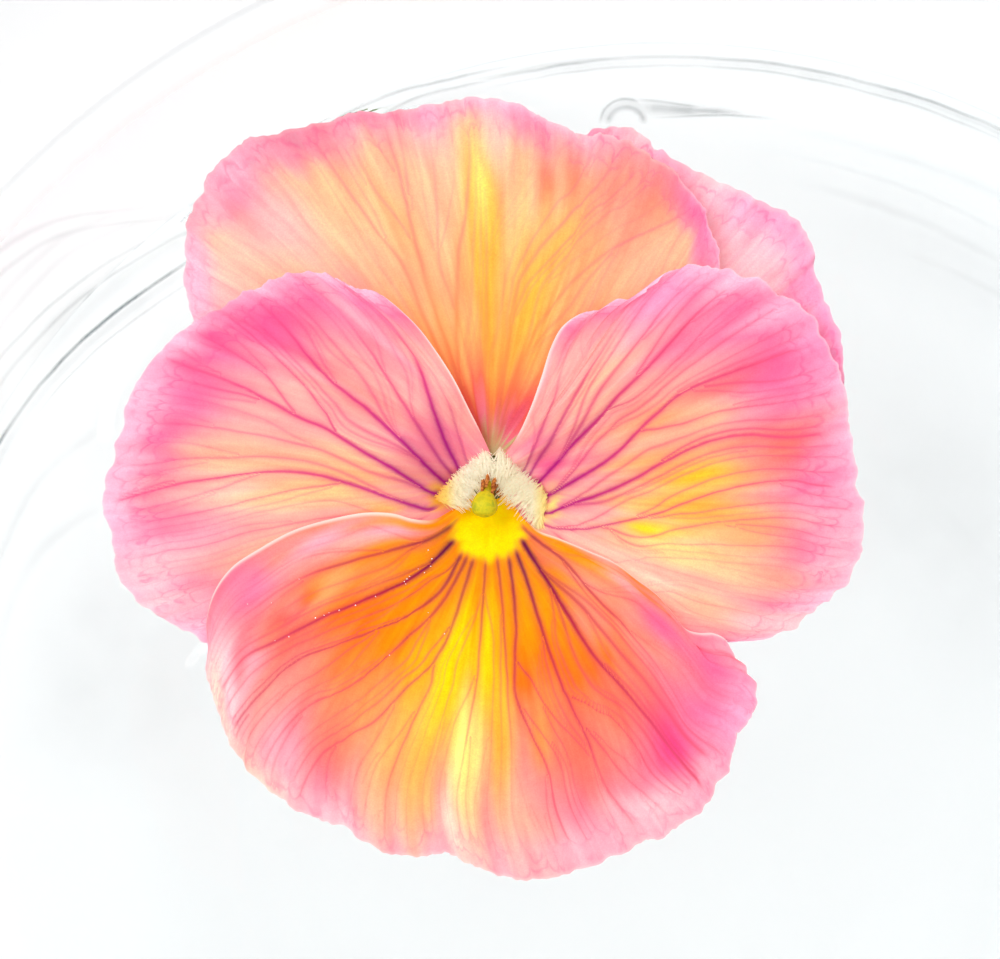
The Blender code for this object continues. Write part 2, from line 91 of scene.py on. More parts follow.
PETALS = {
    "petal_upper_right": {
        "claw": (82.0, 40.0, 2.1), "side_out": [(1.6, 6.5), (4.0, 13.0), (5.4, 19.0), (6.2, 25.0)],
        "margin": [
            (7.2, 28.8), (8.2, 29.6), (9.6, 29.9), (11.0, 29.7), (12.3, 29.1), (13.0, 28.2), (14.1, 27.6),
            (16.2, 26.4), (18.2, 25.5), (19.8, 24.7), (21.4, 24.0), (23.0, 23.2), (24.3, 22.5),
            (25.0, 21.6), (25.6, 19.8), (26.2, 17.2), (26.9, 15.4), (27.7, 13.6), (28.1, 11.8), (28.1, 9.4),
            (27.2, 6.8),
        ],
        "side_back": [(22.0, 4.6), (14.0, 3.8), (7.0, 3.6), (3.4, 3.6)], "grid": (80, 220),
    },
    "petal_upper_left": {
        "claw": (128.0, 70.0, 2.0), "side_out": [(-6.0, 6.2), (-12.0, 8.8), (-18.5, 11.0)],
        "margin": [
            (-22.6, 12.4), (-23.8, 14.2), (-24.5, 16.8), (-24.6, 19.6), (-24.2, 22.4), (-23.2, 24.4),
            (-21.8, 26.6), (-20.2, 28.1), (-18.6, 28.9), (-16.2, 29.4), (-13.6, 30.1), (-11.0, 30.8),
            (-8.2, 31.0), (-5.4, 31.4), (-3.0, 32.0), (-0.6, 32.1), (1.6, 31.8), (3.0, 31.1), (4.4, 30.3),
            (6.0, 29.6), (7.6, 29.0), (9.0, 29.1), (10.6, 28.6), (12.4, 27.6), (14.0, 26.6), (15.4, 25.2),
            (16.6, 23.6), (17.5, 21.6), (18.1, 19.4), (18.0, 17.4),
        ],
        "side_back": [(14.6, 12.8), (9.6, 8.8), (4.4, 5.6)], "grid": (120, 340),
    },
    "petal_side_left": {
        "claw": (212.0, 86.0, 1.8), "side_out": [(-3.0, -1.7), (-6.6, -4.4), (-12.0, -7.2), (-17.5, -9.8)],
        "margin": [
            (-21.0, -11.4), (-22.8, -11.4), (-24.6, -10.4), (-27.0, -9.0), (-28.6, -7.8), (-30.0, -5.6),
            (-30.3, -3.8), (-30.6, -2.0), (-31.2, -0.9), (-31.0, 1.0), (-30.2, 3.6), (-29.4, 6.4),
            (-28.6, 9.0), (-27.2, 11.0), (-25.4, 13.0), (-23.9, 14.2), (-22.6, 14.9), (-21.0, 15.7),
            (-19.9, 16.5), (-18.6, 17.0), (-17.2, 17.7), (-15.4, 18.2), (-13.6, 18.1), (-12.4, 17.7),
            (-11.0, 16.9), (-9.6, 16.7), (-8.6, 16.2),
        ],
        "side_back": [(-6.0, 13.9), (-4.4, 11.8), (-3.0, 9.6), (-1.9, 7.4), (-0.8, 5.2)],
        "grid": (150, 300),
    },
    "petal_side_right": {
        "claw": (64.0, -34.0, 1.85),
        "side_out": [(1.9, 4.9), (3.0, 7.2), (3.9, 9.7), (4.7, 12.2), (5.6, 13.8)],
        "margin": [
            (7.0, 14.8), (8.6, 15.2), (10.0, 15.9), (11.8, 16.4), (12.8, 17.2), (14.2, 18.2), (15.6, 18.7),
            (17.4, 18.6), (19.4, 18.1), (21.6, 17.4), (23.0, 16.3), (24.6, 15.6), (26.0, 13.9),
            (27.0, 11.8), (28.0, 9.6), (28.4, 6.8), (28.8, 4.2), (29.2, 1.2), (29.7, -1.4), (29.5, -3.8),
            (28.8, -5.8), (27.6, -7.4), (26.2, -8.4), (24.6, -9.9), (22.6, -10.9), (20.0, -11.3),
            (18.4, -11.4),
        ],
        "side_back": [(15.0, -11.4), (10.0, -8.8), (6.2, -6.0), (3.4, -3.4), (1.9, -1.5)],
        "grid": (150, 300),
    },
    "petal_lower": {
        "claw": (320.0, 220.0, 1.6),
        "side_out": [
            (2.4, -1.3), (3.6, -2.4), (5.2, -3.0), (7.6, -4.0), (9.8, -5.0), (11.4, -6.2), (13.0, -7.4),
            (14.4, -9.0), (15.5, -10.3), (16.6, -10.6), (17.6, -10.6),
        ],
        "margin": [
            (18.6, -11.1), (19.4, -12.5), (20.4, -13.6), (21.1, -15.0), (21.0, -16.6), (20.3, -17.8),
            (19.5, -18.8), (19.2, -20.2), (18.8, -21.6), (17.6, -23.4), (16.8, -24.9), (15.0, -25.9),
            (13.8, -26.9), (12.2, -27.2), (10.8, -28.0), (8.8, -28.9), (6.4, -29.8), (4.2, -30.3),
            (2.0, -30.3), (0.2, -29.8), (-1.4, -29.2), (-2.8, -28.6), (-3.5, -28.2), (-4.8, -28.4),
            (-6.6, -28.5), (-8.4, -28.2), (-10.0, -27.4), (-11.6, -26.2), (-13.4, -25.6), (-15.2, -25.0),
            (-17.0, -23.8), (-18.9, -22.2), (-20.4, -20.2), (-21.3, -18.4), (-22.1, -16.0), (-22.8, -13.8),
            (-22.7, -12.0), (-22.8, -9.8),
        ],
        "side_back": [
            (-22.2, -7.4), (-20.8, -5.4), (-18.6, -3.9), (-15.8, -2.4), (-12.8, -1.5), (-10.0, -1.0),
            (-7.8, -1.1), (-6.4, -1.5), (-4.8, -1.6), (-3.4, -0.9),
        ],
        "grid": (170, 400),
    },
}
STACKING = {
    "petal_upper_right": [(0.0, 0.0)], "petal_upper_left": [(84.0, LAYER), (112.0, 0.0)],
    "petal_side_left": [(105.0, 2 * LAYER), (150.0, LAYER), (157.0, LAYER), (184.0, 0.0)],
    "petal_side_right": [(-20.0, 0.0), (7.0, LAYER), (20.0, LAYER), (37.0, 2 * LAYER)],
    "petal_lower": [(216.0, LAYER), (246.0, 0.0), (284.0, 0.0), (312.0, LAYER)],
}
RIPPLES = {
    "petal_upper_right": (0.5, 5.0, 0.1), "petal_upper_left": (1.0, 4.0, 0.35),
    "petal_side_left": (0.8, 3.5, 0.6), "petal_side_right": (0.8, 4.0, 0.2),
    "petal_lower": (0.9, 5.5, 0.45),
}
RIPPLE_START = 0.35
# Bulges, frills and grain of the blades: height, cells along and across, start and reach.
UNEVENNESS = [(0.16, (7, 18), 0.25, 0.4), (0.20, (5, 46), 0.72, 0.28), (0.035, (10, 110), 0.1, 0.3)]
COVER_MARGIN = 0.4
COVER_FADE = 2.5
PLEAT_START = (4.5, 27.3)
PLEAT_END = (7.8, 29.1)
PLEAT_HEIGHT = 0.8
PLEAT_STEP = 0.5
PLEAT_FADE = (3.0, 9.0)

# Every vein is kept as its place across the petal at this many steps from claw to margin.
LEVELS = 120
FILLER_WIDTH = 0.65
CLOSEST_VEINS = 0.65
CLOSEST_COLUMNS = 2.2
FURROW_DEPTH = 0.04
FURROW_WIDTH = 0.25

# Main veins, in flower coordinates: width, strength and the points that each one runs through.
VEINS = {
    "petal_upper_right": [],
    "petal_upper_left": [
        (
            1.0, 0.8,
            [(-0.6, 5.1), (-1.8, 7.6), (-2.4, 9.2), (-2.8, 12.6), (-2.8, 16.0), (-2.6, 20.2), (-2.2, 22.2)],
        ),
        (0.9, 0.6, [(-0.2, 5.1), (-0.3, 7.2), (-0.5, 9.2), (-0.5, 13.8), (-0.5, 16.8)]),
        (1.0, 0.8, [(-0.8, 5.1), (-2.1, 8.0), (-3.8, 13.0), (-5.1, 16.8), (-6.0, 20.2), (-7.2, 25.2)]),
        (0.9, 0.7, [(-1.0, 5.0), (-3.0, 9.2), (-5.5, 14.7), (-7.2, 18.9), (-9.4, 21.8), (-11.8, 25.2)]),
        (
            0.9, 0.7,
            [(0.3, 5.1), (0.8, 8.8), (1.2, 11.8), (2.0, 16.8), (3.3, 19.4), (5.4, 21.8), (7.9, 24.4)],
        ),
        (0.9, 0.7, [(0.6, 5.1), (1.8, 9.6), (3.7, 13.8), (6.2, 17.2), (10.0, 20.2), (14.2, 22.2)]),
    ],
    "petal_side_left": [
        (
            1.15, 0.95,
            [
                (-5.1, -0.9), (-6.2, -0.5), (-7.4, -0.1), (-9.0, 0.4), (-10.9, 1.1), (-13.4, 1.9),
                (-15.4, 2.2), (-18.6, 2.2), (-21.8, 1.8), (-25.0, 1.3), (-27.8, 0.6),
            ],
        ),
        (
            1.25, 1.0,
            [
                (-4.6, 0.4), (-5.8, 1.1), (-7.4, 2.2), (-9.6, 3.5), (-11.5, 4.6), (-13.4, 5.8),
                (-15.4, 6.6), (-17.9, 8.0), (-20.4, 9.2),
            ],
        ),
        (
            1.25, 1.0,
            [
                (-3.7, 1.3), (-4.6, 2.1), (-5.6, 3.1), (-6.6, 4.1), (-7.5, 5.0), (-9.0, 6.4), (-10.9, 8.0),
                (-12.6, 9.3), (-14.3, 11.0), (-15.9, 13.0),
            ],
        ),
        (
            1.0, 0.7,
            [(-3.1, 1.9), (-4.0, 3.0), (-4.8, 4.2), (-5.7, 5.6), (-6.6, 7.0), (-7.7, 8.7), (-9.0, 10.8)],
        ),
        (1.15, 0.95, [(-2.6, 2.3), (-3.3, 3.7), (-4.0, 5.3), (-4.5, 6.7), (-5.0, 8.2), (-5.6, 10.2)]),
        (0.8, 0.4, [(-2.0, 3.0), (-2.4, 4.2), (-2.9, 5.8), (-3.4, 7.6)]),
        (0.9, 0.7, [(-11.5, 4.6), (-13.0, 6.6), (-15.0, 9.2), (-17.5, 11.6), (-20.2, 14.0)]),
        (0.7, 0.5, [(-10.9, 1.1), (-14.5, 1.0), (-18.5, 0.2), (-22.5, -0.8), (-26.5, -1.6)]),
        (
            0.6, 0.4,
            [(-5.8, -1.6), (-10.6, -1.2), (-15.4, -1.8), (-19.5, -2.6), (-23.0, -3.6), (-26.8, -4.2)],
        ),
    ],
    "petal_side_right": [
        (0.9, 0.6, [(2.5, 2.2), (3.0, 3.4), (3.5, 4.6), (4.1, 6.0), (4.9, 8.0)]),
        (1.05, 0.75, [(2.9, 1.8), (3.7, 3.2), (4.6, 4.6), (5.5, 6.3), (6.4, 8.0), (7.6, 10.0)]),
        (
            1.25, 1.0,
            [
                (3.7, 1.3), (5.0, 2.8), (6.6, 4.6), (8.6, 6.6), (10.2, 8.4), (11.8, 10.0), (13.4, 11.6),
                (15.2, 13.6),
            ],
        ),
        (
            1.25, 1.0,
            [
                (4.3, 0.2), (5.6, 1.0), (7.0, 1.8), (8.7, 2.8), (11.0, 4.8), (13.2, 7.0), (15.2, 8.6),
                (17.5, 9.6), (20.5, 10.7),
            ],
        ),
        (
            1.2, 1.0,
            [
                (4.4, -1.2), (5.6, -0.6), (7.0, -0.1), (8.7, 0.5), (10.8, 1.4), (13.8, 3.1), (16.5, 4.4),
                (19.8, 5.2), (23.2, 5.0),
            ],
        ),
        (
            0.8, 0.75,
            [
                (4.2, -2.1), (5.4, -2.3), (7.2, -2.3), (9.2, -2.0), (11.5, -1.5), (13.8, -0.9), (16.5, 0.2),
                (19.8, 1.1), (23.2, 1.6), (26.5, 1.1),
            ],
        ),
        (0.8, 0.6, [(11.0, 4.8), (13.0, 5.6), (15.6, 6.2), (18.6, 7.2), (22.0, 7.6)]),
        (0.8, 0.5, [(8.6, 6.6), (11.5, 8.2), (14.0, 10.4), (16.6, 13.2)]),
        (0.6, 0.4, [(5.5, -2.8), (9.8, -3.2), (13.2, -3.8), (17.2, -5.0), (21.4, -6.6)]),
    ],
    "petal_lower": [
        (0.9, 0.75, [(-3.1, -2.0), (-4.2, -2.7), (-5.4, -3.3), (-7.4, -3.8), (-9.8, -4.5), (-13.0, -5.4)]),
        (
            1.1, 1.0,
            [
                (-3.1, -3.3), (-4.8, -5.0), (-6.2, -6.1), (-7.6, -6.9), (-10.3, -8.0), (-14.0, -9.6),
                (-18.0, -11.6),
            ],
        ),
        (
            0.9, 0.8,
            [
                (-2.6, -4.6), (-3.4, -6.2), (-4.4, -7.6), (-6.3, -9.0), (-9.6, -10.5), (-13.3, -11.9),
                (-15.4, -12.6), (-18.4, -15.4), (-20.3, -17.6),
            ],
        ),
        (
            0.9, 0.7,
            [(-2.2, -5.0), (-3.1, -6.8), (-4.6, -9.0), (-7.0, -11.2), (-10.7, -14.5), (-13.9, -16.0)],
        ),
        (
            0.95, 0.7,
            [
                (-1.6, -5.2), (-2.2, -7.2), (-3.0, -9.8), (-4.3, -12.6), (-7.0, -15.2), (-9.6, -17.8),
                (-13.0, -19.8),
            ],
        ),
        (0.8, 0.55, [(-4.0, -11.9), (-4.9, -14.8), (-6.0, -17.0), (-7.4, -20.2)]),
        (0.75, 0.6, [(-0.5, -4.8), (-0.7, -8.0), (-0.9, -10.6), (-1.2, -14.4), (-1.8, -17.8)]),
        (0.75, 0.6, [(0.5, -5.2), (0.8, -8.0), (1.0, -11.0), (1.2, -14.0)]),
        (
            0.9, 0.8,
            [
                (1.4, -4.8), (1.8, -7.4), (2.0, -10.8), (1.8, -15.2), (2.7, -17.8), (4.6, -21.8),
                (5.0, -24.4),
            ],
        ),
        (1.0, 0.9, [(2.0, -4.2), (2.9, -6.6), (3.7, -9.2), (4.8, -12.3), (6.0, -15.6), (7.8, -19.6)]),
        (
            1.3, 1.0,
            [
                (2.5, -3.3), (3.8, -5.4), (5.2, -7.6), (6.8, -10.4), (8.6, -13.0), (11.0, -15.6),
                (14.4, -19.9), (17.0, -23.2),
            ],
        ),
        (0.8, 0.7, [(2.7, -2.5), (4.2, -3.6), (5.7, -4.8), (8.2, -7.7), (10.4, -9.8)]),
        (0.8, 0.6, [(6.0, -8.6), (9.3, -11.6), (12.2, -13.0), (15.1, -14.8)]),
        (0.7, 0.6, [(2.0, -11.9), (3.4, -14.8), (5.0, -17.4), (7.1, -19.6)]),
        (0.7, 0.6, [(6.7, -14.5), (8.6, -16.3), (10.7, -18.5), (12.2, -21.0)]),
    ],
}

# Colours, as they look in even light; the olive at the upper petal's claw also holds painted shade.
COLOURS = {
    "magenta": "#f54f90", "hot_pink": "#fa6ca3", "pink": "#fb82aa", "rose": "#fb8aa0", "lilac": "#fca6ce",
    "light_pink": "#fcb4c3", "pale_pink": "#fbd3d8", "salmon": "#fc9888", "coral": "#f8745a",
    "red": "#f55a64", "deep_orange": "#fd7a12", "orange": "#ff9a00", "apricot": "#feb46c",
    "golden": "#ffc32e", "yellow": "#ffd900", "pale_yellow": "#ffee84", "peach": "#fdc8a0",
    "cream": "#fde2ca", "olive_with_shade": "#d7cd96", "crimson": "#e4506e", "blush": "#fdb4ac",
    "pale_lilac": "#fbc6de", "tangerine": "#fc9a4c", "sand": "#fecb96", "amber": "#fdb606",
}

# Each petal's ground, from claw to margin.
GROUNDS = {
    "petal_upper_right": [
        (0.0, "crimson"), (0.3, "salmon"), (0.6, "cream"), (0.85, "light_pink"), (1.0, "lilac"),
    ],
    "petal_upper_left": [
        # The olive at the claw is partly the claw's own pale green and partly painted shade deep in the
        # throat.
        (0.0, "olive_with_shade"), (0.03, "olive_with_shade"), (0.08, "rose"), (0.18, "coral"), (0.32, "apricot"), (0.7, "peach"),
        (0.86, "peach"), (0.94, "light_pink"), (1.0, "pale_lilac"),
    ],
    "petal_side_left": [
        (0.0, "rose"), (0.2, "blush"), (0.35, "blush"), (0.6, "blush"), (0.85, "pink"), (1.0, "pale_lilac"),
    ],
    "petal_side_right": [
        (0.0, "rose"), (0.2, "blush"), (0.35, "blush"), (0.6, "blush"), (0.85, "pink"), (1.0, "pale_lilac"),
    ],
    "petal_lower": [
        (0.0, "golden"), (0.12, "orange"), (0.36, "orange"), (0.52, "deep_orange"), (0.68, "salmon"),
        (0.86, "rose"), (1.0, "light_pink"),
    ],
}

# Washes over the ground: colour, centre, reach along the petal's flow and across it, and strength.
WASHES = {
    "petal_upper_right": [
        ("pale_pink", (22.0, 20.5), 4.5, 4.0, 0.9), ("pale_pink", (17.5, 25.2), 2.4, 3.0, 0.9),
        ("lilac", (23.0, 22.6), 1.4, 4.0, 0.8), ("lilac", (26.0, 16.5), 2.2, 4.0, 0.8),
        ("pale_pink", (11.5, 28.4), 2.0, 3.0, 0.8),
    ],
    "petal_upper_left": [
        ("cream", (-19.0, 20.0), 5.5, 3.6, 0.7), ("blush", (-18.6, 22.4), 2.6, 2.4, 0.8),
        ("pale_pink", (-21.0, 15.5), 3.6, 3.0, 0.8), ("light_pink", (-11.6, 17.4), 3.0, 1.8, 0.45),
        ("cream", (-17.0, 14.5), 5.0, 2.2, 0.8), ("pale_pink", (-17.0, 23.0), 4.0, 2.6, 0.6),
        ("peach", (-12.0, 23.5), 6.0, 3.6, 0.8), ("peach", (-5.8, 26.6), 4.0, 3.6, 0.8),
        ("apricot", (-7.4, 22.6), 4.0, 2.0, 0.6), ("cream", (-3.2, 28.0), 3.0, 1.6, 0.6),
        ("amber", (-0.8, 19.0), 6.5, 1.2, 0.6), ("golden", (-0.8, 20.0), 8.5, 1.5, 0.9),
        ("tangerine", (-2.6, 18.6), 4.0, 0.8, 0.5), ("sand", (-11.6, 24.4), 3.0, 2.0, 0.6),
        ("pale_yellow", (-1.0, 23.6), 4.2, 0.9, 0.6), ("golden", (3.4, 17.0), 6.5, 2.4, 0.85),
        ("golden", (5.4, 20.4), 3.0, 1.4, 0.6), ("orange", (0.8, 12.0), 5.0, 2.0, 0.4),
        ("apricot", (7.5, 20.0), 5.0, 3.0, 0.7), ("salmon", (10.5, 24.0), 5.5, 3.2, 0.8),
        ("coral", (6.4, 26.0), 3.0, 1.6, 0.65), ("coral", (13.5, 24.2), 3.0, 2.2, 0.5),
        ("hot_pink", (16.6, 22.0), 1.4, 4.0, 0.8), ("rose", (4.0, 28.8), 2.4, 1.6, 0.7),
        ("pink", (-16.0, 28.4), 1.4, 3.6, 0.6), ("hot_pink", (-20.6, 24.2), 1.6, 2.0, 0.6),
        ("pale_lilac", (-21.0, 27.4), 2.2, 4.0, 1.0), ("pale_lilac", (-23.6, 18.0), 1.8, 5.0, 0.9),
        ("hot_pink", (-9.0, 30.9), 0.9, 9.0, 0.5), ("pink", (2.0, 31.0), 1.4, 3.0, 0.5),
        ("pale_lilac", (0.6, 32.4), 0.7, 6.0, 0.8), ("cream", (0.4, 28.0), 1.8, 1.4, 0.6),
        ("coral", (4.2, 25.4), 2.2, 1.0, 0.8), ("apricot", (4.2, 22.6), 2.6, 0.8, 0.7),
        # The olive wash at the claw is partly its own pale green and partly painted shade.
        ("crimson", (1.6, 6.4), 2.6, 0.9, 0.75), ("olive_with_shade", (0.05, 4.6), 2.0, 0.4, 0.95),
    ],
    "petal_side_left": [
        ("pink", (-4.4, 5.0), 3.4, 1.6, 0.7), ("cream", (-2.0, 1.6), 1.3, 3.0, 1.0),
        ("golden", (-4.6, 0.0), 0.9, 1.2, 1.0), ("yellow", (-4.2, 0.2), 0.8, 0.9, 1.0),
        ("salmon", (-9.4, 7.6), 5.0, 1.5, 0.6), ("rose", (-9.4, 12.4), 4.0, 1.6, 0.6),
        ("hot_pink", (-18.0, 15.6), 2.6, 2.6, 0.6), ("magenta", (-21.8, 12.8), 1.8, 1.8, 0.7),
        ("peach", (-19.0, 3.0), 7.5, 2.8, 0.95), ("cream", (-21.5, 0.2), 4.5, 1.4, 0.6),
        ("peach", (-12.0, 3.8), 5.0, 1.5, 0.95), ("apricot", (-11.0, 1.8), 5.0, 1.4, 0.7),
        ("pale_yellow", (-13.5, 0.6), 4.0, 0.9, 0.6), ("golden", (-9.0, -0.6), 3.0, 0.8, 0.6),
        ("blush", (-17.0, 6.6), 4.4, 1.3, 0.9), ("magenta", (-18.4, 13.8), 5.0, 2.2, 0.7),
        ("hot_pink", (-24.6, 8.8), 3.0, 2.4, 0.8), ("hot_pink", (-12.8, 16.0), 3.0, 1.8, 0.7),
        ("light_pink", (-10.4, 14.4), 4.5, 0.7, 0.85), ("light_pink", (-15.6, 10.8), 5.0, 0.5, 0.5),
        ("hot_pink", (-8.6, 14.4), 3.0, 0.8, 0.6), ("hot_pink", (-26.6, 4.4), 1.8, 2.2, 0.75),
        ("rose", (-26.6, -0.8), 2.6, 2.0, 0.7), ("pale_lilac", (-29.4, 4.0), 1.7, 8.0, 0.85),
        ("pale_lilac", (-26.2, 13.0), 1.5, 3.0, 0.85), ("pale_lilac", (-30.2, -1.6), 1.5, 5.0, 0.7),
        ("pink", (-28.0, -4.6), 2.2, 2.6, 0.5), ("sand", (-15.6, 0.2), 4.0, 1.2, 0.8),
        ("light_pink", (-24.4, -4.4), 3.4, 2.2, 0.8), ("light_pink", (-24.0, -8.8), 3.0, 2.4, 0.8),
        ("pale_pink", (-27.0, -6.8), 2.4, 3.0, 0.7), ("peach", (-17.5, -4.4), 5.0, 1.8, 0.7),
        ("magenta", (-5.6, 3.3), 2.4, 1.3, 0.35),
    ],
    "petal_side_right": [
        ("light_pink", (4.0, 10.0), 4.0, 0.5, 0.8), ("pink", (3.2, 4.6), 2.0, 0.7, 0.8),
        ("blush", (4.4, 7.2), 2.4, 0.8, 0.8), ("blush", (7.4, 12.6), 2.4, 1.4, 0.6),
        ("hot_pink", (4.4, 2.8), 1.8, 1.0, 0.8), ("rose", (7.4, 3.4), 2.4, 1.2, 0.85),
        ("salmon", (10.4, 6.4), 2.6, 0.8, 0.6), ("cream", (2.4, 1.4), 1.5, 2.4, 1.0),
        ("pale_yellow", (4.6, -0.7), 0.8, 1.6, 1.0), ("peach", (8.4, 9.4), 4.6, 1.3, 0.85),
        ("peach", (9.0, 7.6), 3.0, 0.9, 0.8), ("light_pink", (11.6, 13.4), 3.4, 1.0, 0.8),
        ("lilac", (12.6, 16.0), 2.6, 2.6, 0.8), ("hot_pink", (14.6, 12.0), 3.4, 1.4, 0.6),
        ("light_pink", (19.0, 15.0), 2.6, 1.6, 0.6), ("hot_pink", (22.4, 10.4), 4.2, 2.4, 0.8),
        ("hot_pink", (20.0, 15.6), 2.4, 1.6, 0.8), ("pink", (25.8, 9.4), 1.6, 2.4, 0.6),
        ("red", (17.6, 8.8), 3.4, 0.8, 0.6), ("apricot", (12.4, 6.2), 5.0, 1.3, 0.8),
        ("apricot", (13.0, 3.4), 5.5, 1.3, 0.8), ("sand", (16.6, 6.2), 3.0, 1.0, 0.6),
        ("golden", (16.2, 2.0), 4.6, 1.5, 1.0), ("coral", (23.2, 4.0), 3.0, 1.8, 0.8),
        ("salmon", (20.6, 3.2), 2.6, 1.2, 0.5), ("sand", (10.4, 0.2), 3.2, 1.2, 0.9),
        ("sand", (10.4, -3.2), 3.0, 1.1, 0.8), ("golden", (16.4, -0.6), 5.0, 1.8, 0.9),
        ("yellow", (12.8, -2.2), 3.4, 1.0, 0.95), ("pale_yellow", (16.6, -4.6), 4.6, 1.5, 0.8),
        ("apricot", (20.6, -2.8), 3.6, 1.8, 0.7), ("peach", (17.0, -8.6), 6.0, 2.2, 0.9),
        ("peach", (19.5, -6.0), 4.5, 1.3, 0.7), ("cream", (10.0, -5.6), 4.0, 1.2, 0.8),
        ("salmon", (23.4, -6.2), 2.4, 1.4, 0.7), ("pale_pink", (23.4, -9.8), 2.4, 1.4, 0.8),
        ("light_pink", (28.0, -4.4), 1.7, 3.4, 0.85), ("pink", (27.6, 1.0), 1.7, 3.4, 0.6),
        ("lilac", (25.6, 12.8), 1.7, 4.0, 0.6), ("magenta", (4.0, 3.2), 2.4, 1.0, 0.35),
    ],
    "petal_lower": [
        ("orange", (-6.0, -6.8), 4.0, 1.8, 0.9), ("orange", (-2.6, -7.2), 3.0, 1.6, 0.7),
        ("deep_orange", (-10.4, -7.6), 4.0, 2.4, 0.85), ("orange", (-8.6, -11.6), 5.0, 2.2, 0.8),
        ("deep_orange", (-12.0, -12.4), 3.6, 2.0, 0.6), ("red", (-15.4, -9.0), 3.6, 1.7, 0.75),
        ("hot_pink", (-18.8, -6.4), 2.2, 2.0, 0.7), ("rose", (-20.0, -9.8), 2.6, 2.2, 0.9),
        ("coral", (-19.6, -9.8), 2.4, 1.6, 0.5), ("hot_pink", (-18.6, -7.6), 2.2, 1.2, 0.7),
        ("apricot", (-12.0, -6.2), 3.4, 1.0, 0.95), ("tangerine", (-9.0, -6.0), 2.4, 0.8, 0.7),
        ("light_pink", (-13.4, -3.4), 5.0, 1.4, 1.0), ("light_pink", (-8.4, -2.6), 3.0, 0.6, 0.9),
        ("pink", (-20.4, -6.4), 1.8, 3.0, 0.6), ("coral", (-16.6, -11.6), 3.0, 1.1, 0.8),
        ("light_pink", (-19.0, -13.0), 2.0, 1.2, 0.7), ("pale_pink", (-21.2, -14.6), 2.0, 3.6, 1.0),
        ("cream", (-21.9, -16.2), 1.3, 3.0, 0.8), ("cream", (-18.8, -22.4), 1.3, 3.0, 0.8),
        ("salmon", (-16.6, -15.8), 3.6, 2.0, 0.7), ("coral", (-12.6, -18.8), 2.8, 2.0, 0.6),
        ("light_pink", (-17.6, -19.6), 2.2, 3.0, 0.9), ("tangerine", (-9.4, -16.4), 3.6, 2.0, 0.85),
        ("apricot", (-8.6, -20.6), 3.0, 2.0, 0.7), ("peach", (-8.6, -24.4), 2.4, 2.6, 0.7),
        ("apricot", (-5.4, -22.8), 2.6, 1.0, 0.7), ("golden", (-5.4, -15.4), 6.0, 1.8, 0.7),
        ("yellow", (-3.0, -13.4), 7.0, 1.9, 0.9), ("yellow", (-0.4, -13.4), 6.5, 1.2, 0.9),
        ("amber", (-5.6, -12.4), 3.2, 1.2, 0.85), ("amber", (0.7, -12.4), 4.0, 0.7, 0.85),
        ("yellow", (-2.8, -12.6), 4.0, 1.4, 0.9), ("pale_yellow", (-1.9, -20.2), 3.8, 1.5, 1.0),
        ("cream", (-3.4, -25.6), 2.6, 1.3, 0.8), ("golden", (0.6, -22.4), 2.6, 0.8, 0.6),
        ("golden", (1.0, -18.6), 4.0, 0.9, 0.7), ("orange", (3.6, -9.4), 5.0, 1.8, 0.85),
        ("coral", (-5.8, -3.2), 1.8, 0.8, 0.5), ("coral", (3.9, -3.4), 2.2, 0.9, 0.55),
        ("tangerine", (3.8, -19.2), 2.4, 1.2, 0.6), ("deep_orange", (5.2, -13.6), 5.0, 1.7, 0.6),
        ("salmon", (7.4, -6.4), 3.6, 0.9, 0.9), ("blush", (10.2, -6.2), 3.0, 1.0, 0.95),
        ("salmon", (11.0, -9.2), 3.6, 1.4, 0.9), ("salmon", (7.6, -3.6), 2.4, 0.6, 0.8),
        ("hot_pink", (13.6, -9.8), 3.0, 1.3, 0.85), ("salmon", (7.2, -9.8), 2.4, 0.9, 0.7),
        ("coral", (9.4, -15.6), 3.6, 1.8, 0.8), ("tangerine", (4.2, -16.0), 2.6, 1.2, 0.8),
        ("coral", (6.0, -19.6), 3.0, 1.6, 0.75), ("tangerine", (3.8, -19.4), 2.4, 0.8, 0.7),
        ("coral", (12.4, -15.8), 3.2, 1.8, 0.75), ("magenta", (14.6, -20.0), 3.6, 2.6, 1.0),
        ("hot_pink", (16.4, -16.6), 3.0, 2.0, 0.7), ("hot_pink", (18.0, -13.4), 2.6, 2.2, 0.8),
        ("coral", (8.4, -20.4), 3.6, 1.8, 0.7), ("pale_pink", (13.4, -24.4), 1.6, 3.4, 0.8),
        ("light_pink", (17.4, -21.6), 1.5, 2.4, 0.8), ("peach", (2.4, -26.6), 3.0, 2.8, 0.75),
        ("light_pink", (6.0, -27.8), 1.5, 5.0, 0.7), ("lilac", (19.6, -17.4), 1.6, 4.0, 0.6),
        ("salmon", (7.2, -8.0), 2.2, 0.7, 0.6), ("salmon", (9.0, -9.8), 2.6, 0.8, 0.65),
        ("blush", (9.0, -4.9), 1.8, 0.5, 0.6), ("blush", (-11.8, -4.0), 3.4, 0.6, 0.6),
        ("salmon", (-15.4, -8.0), 2.0, 0.9, 0.55), ("coral", (4.2, -4.8), 1.6, 0.7, 0.6),
        ("pale_pink", (-12.2, -25.6), 1.6, 3.0, 0.6), ("cream", (-18.6, -22.8), 1.4, 3.0, 0.5),
        ("peach", (-18.6, -16.0), 2.2, 1.6, 0.35), ("golden", (0.7, -17.6), 3.0, 0.8, 0.5),
        ("apricot", (-5.8, -17.4), 2.6, 0.9, 0.35), ("coral", (6.2, -17.8), 3.0, 1.6, 0.4),
    ],
}

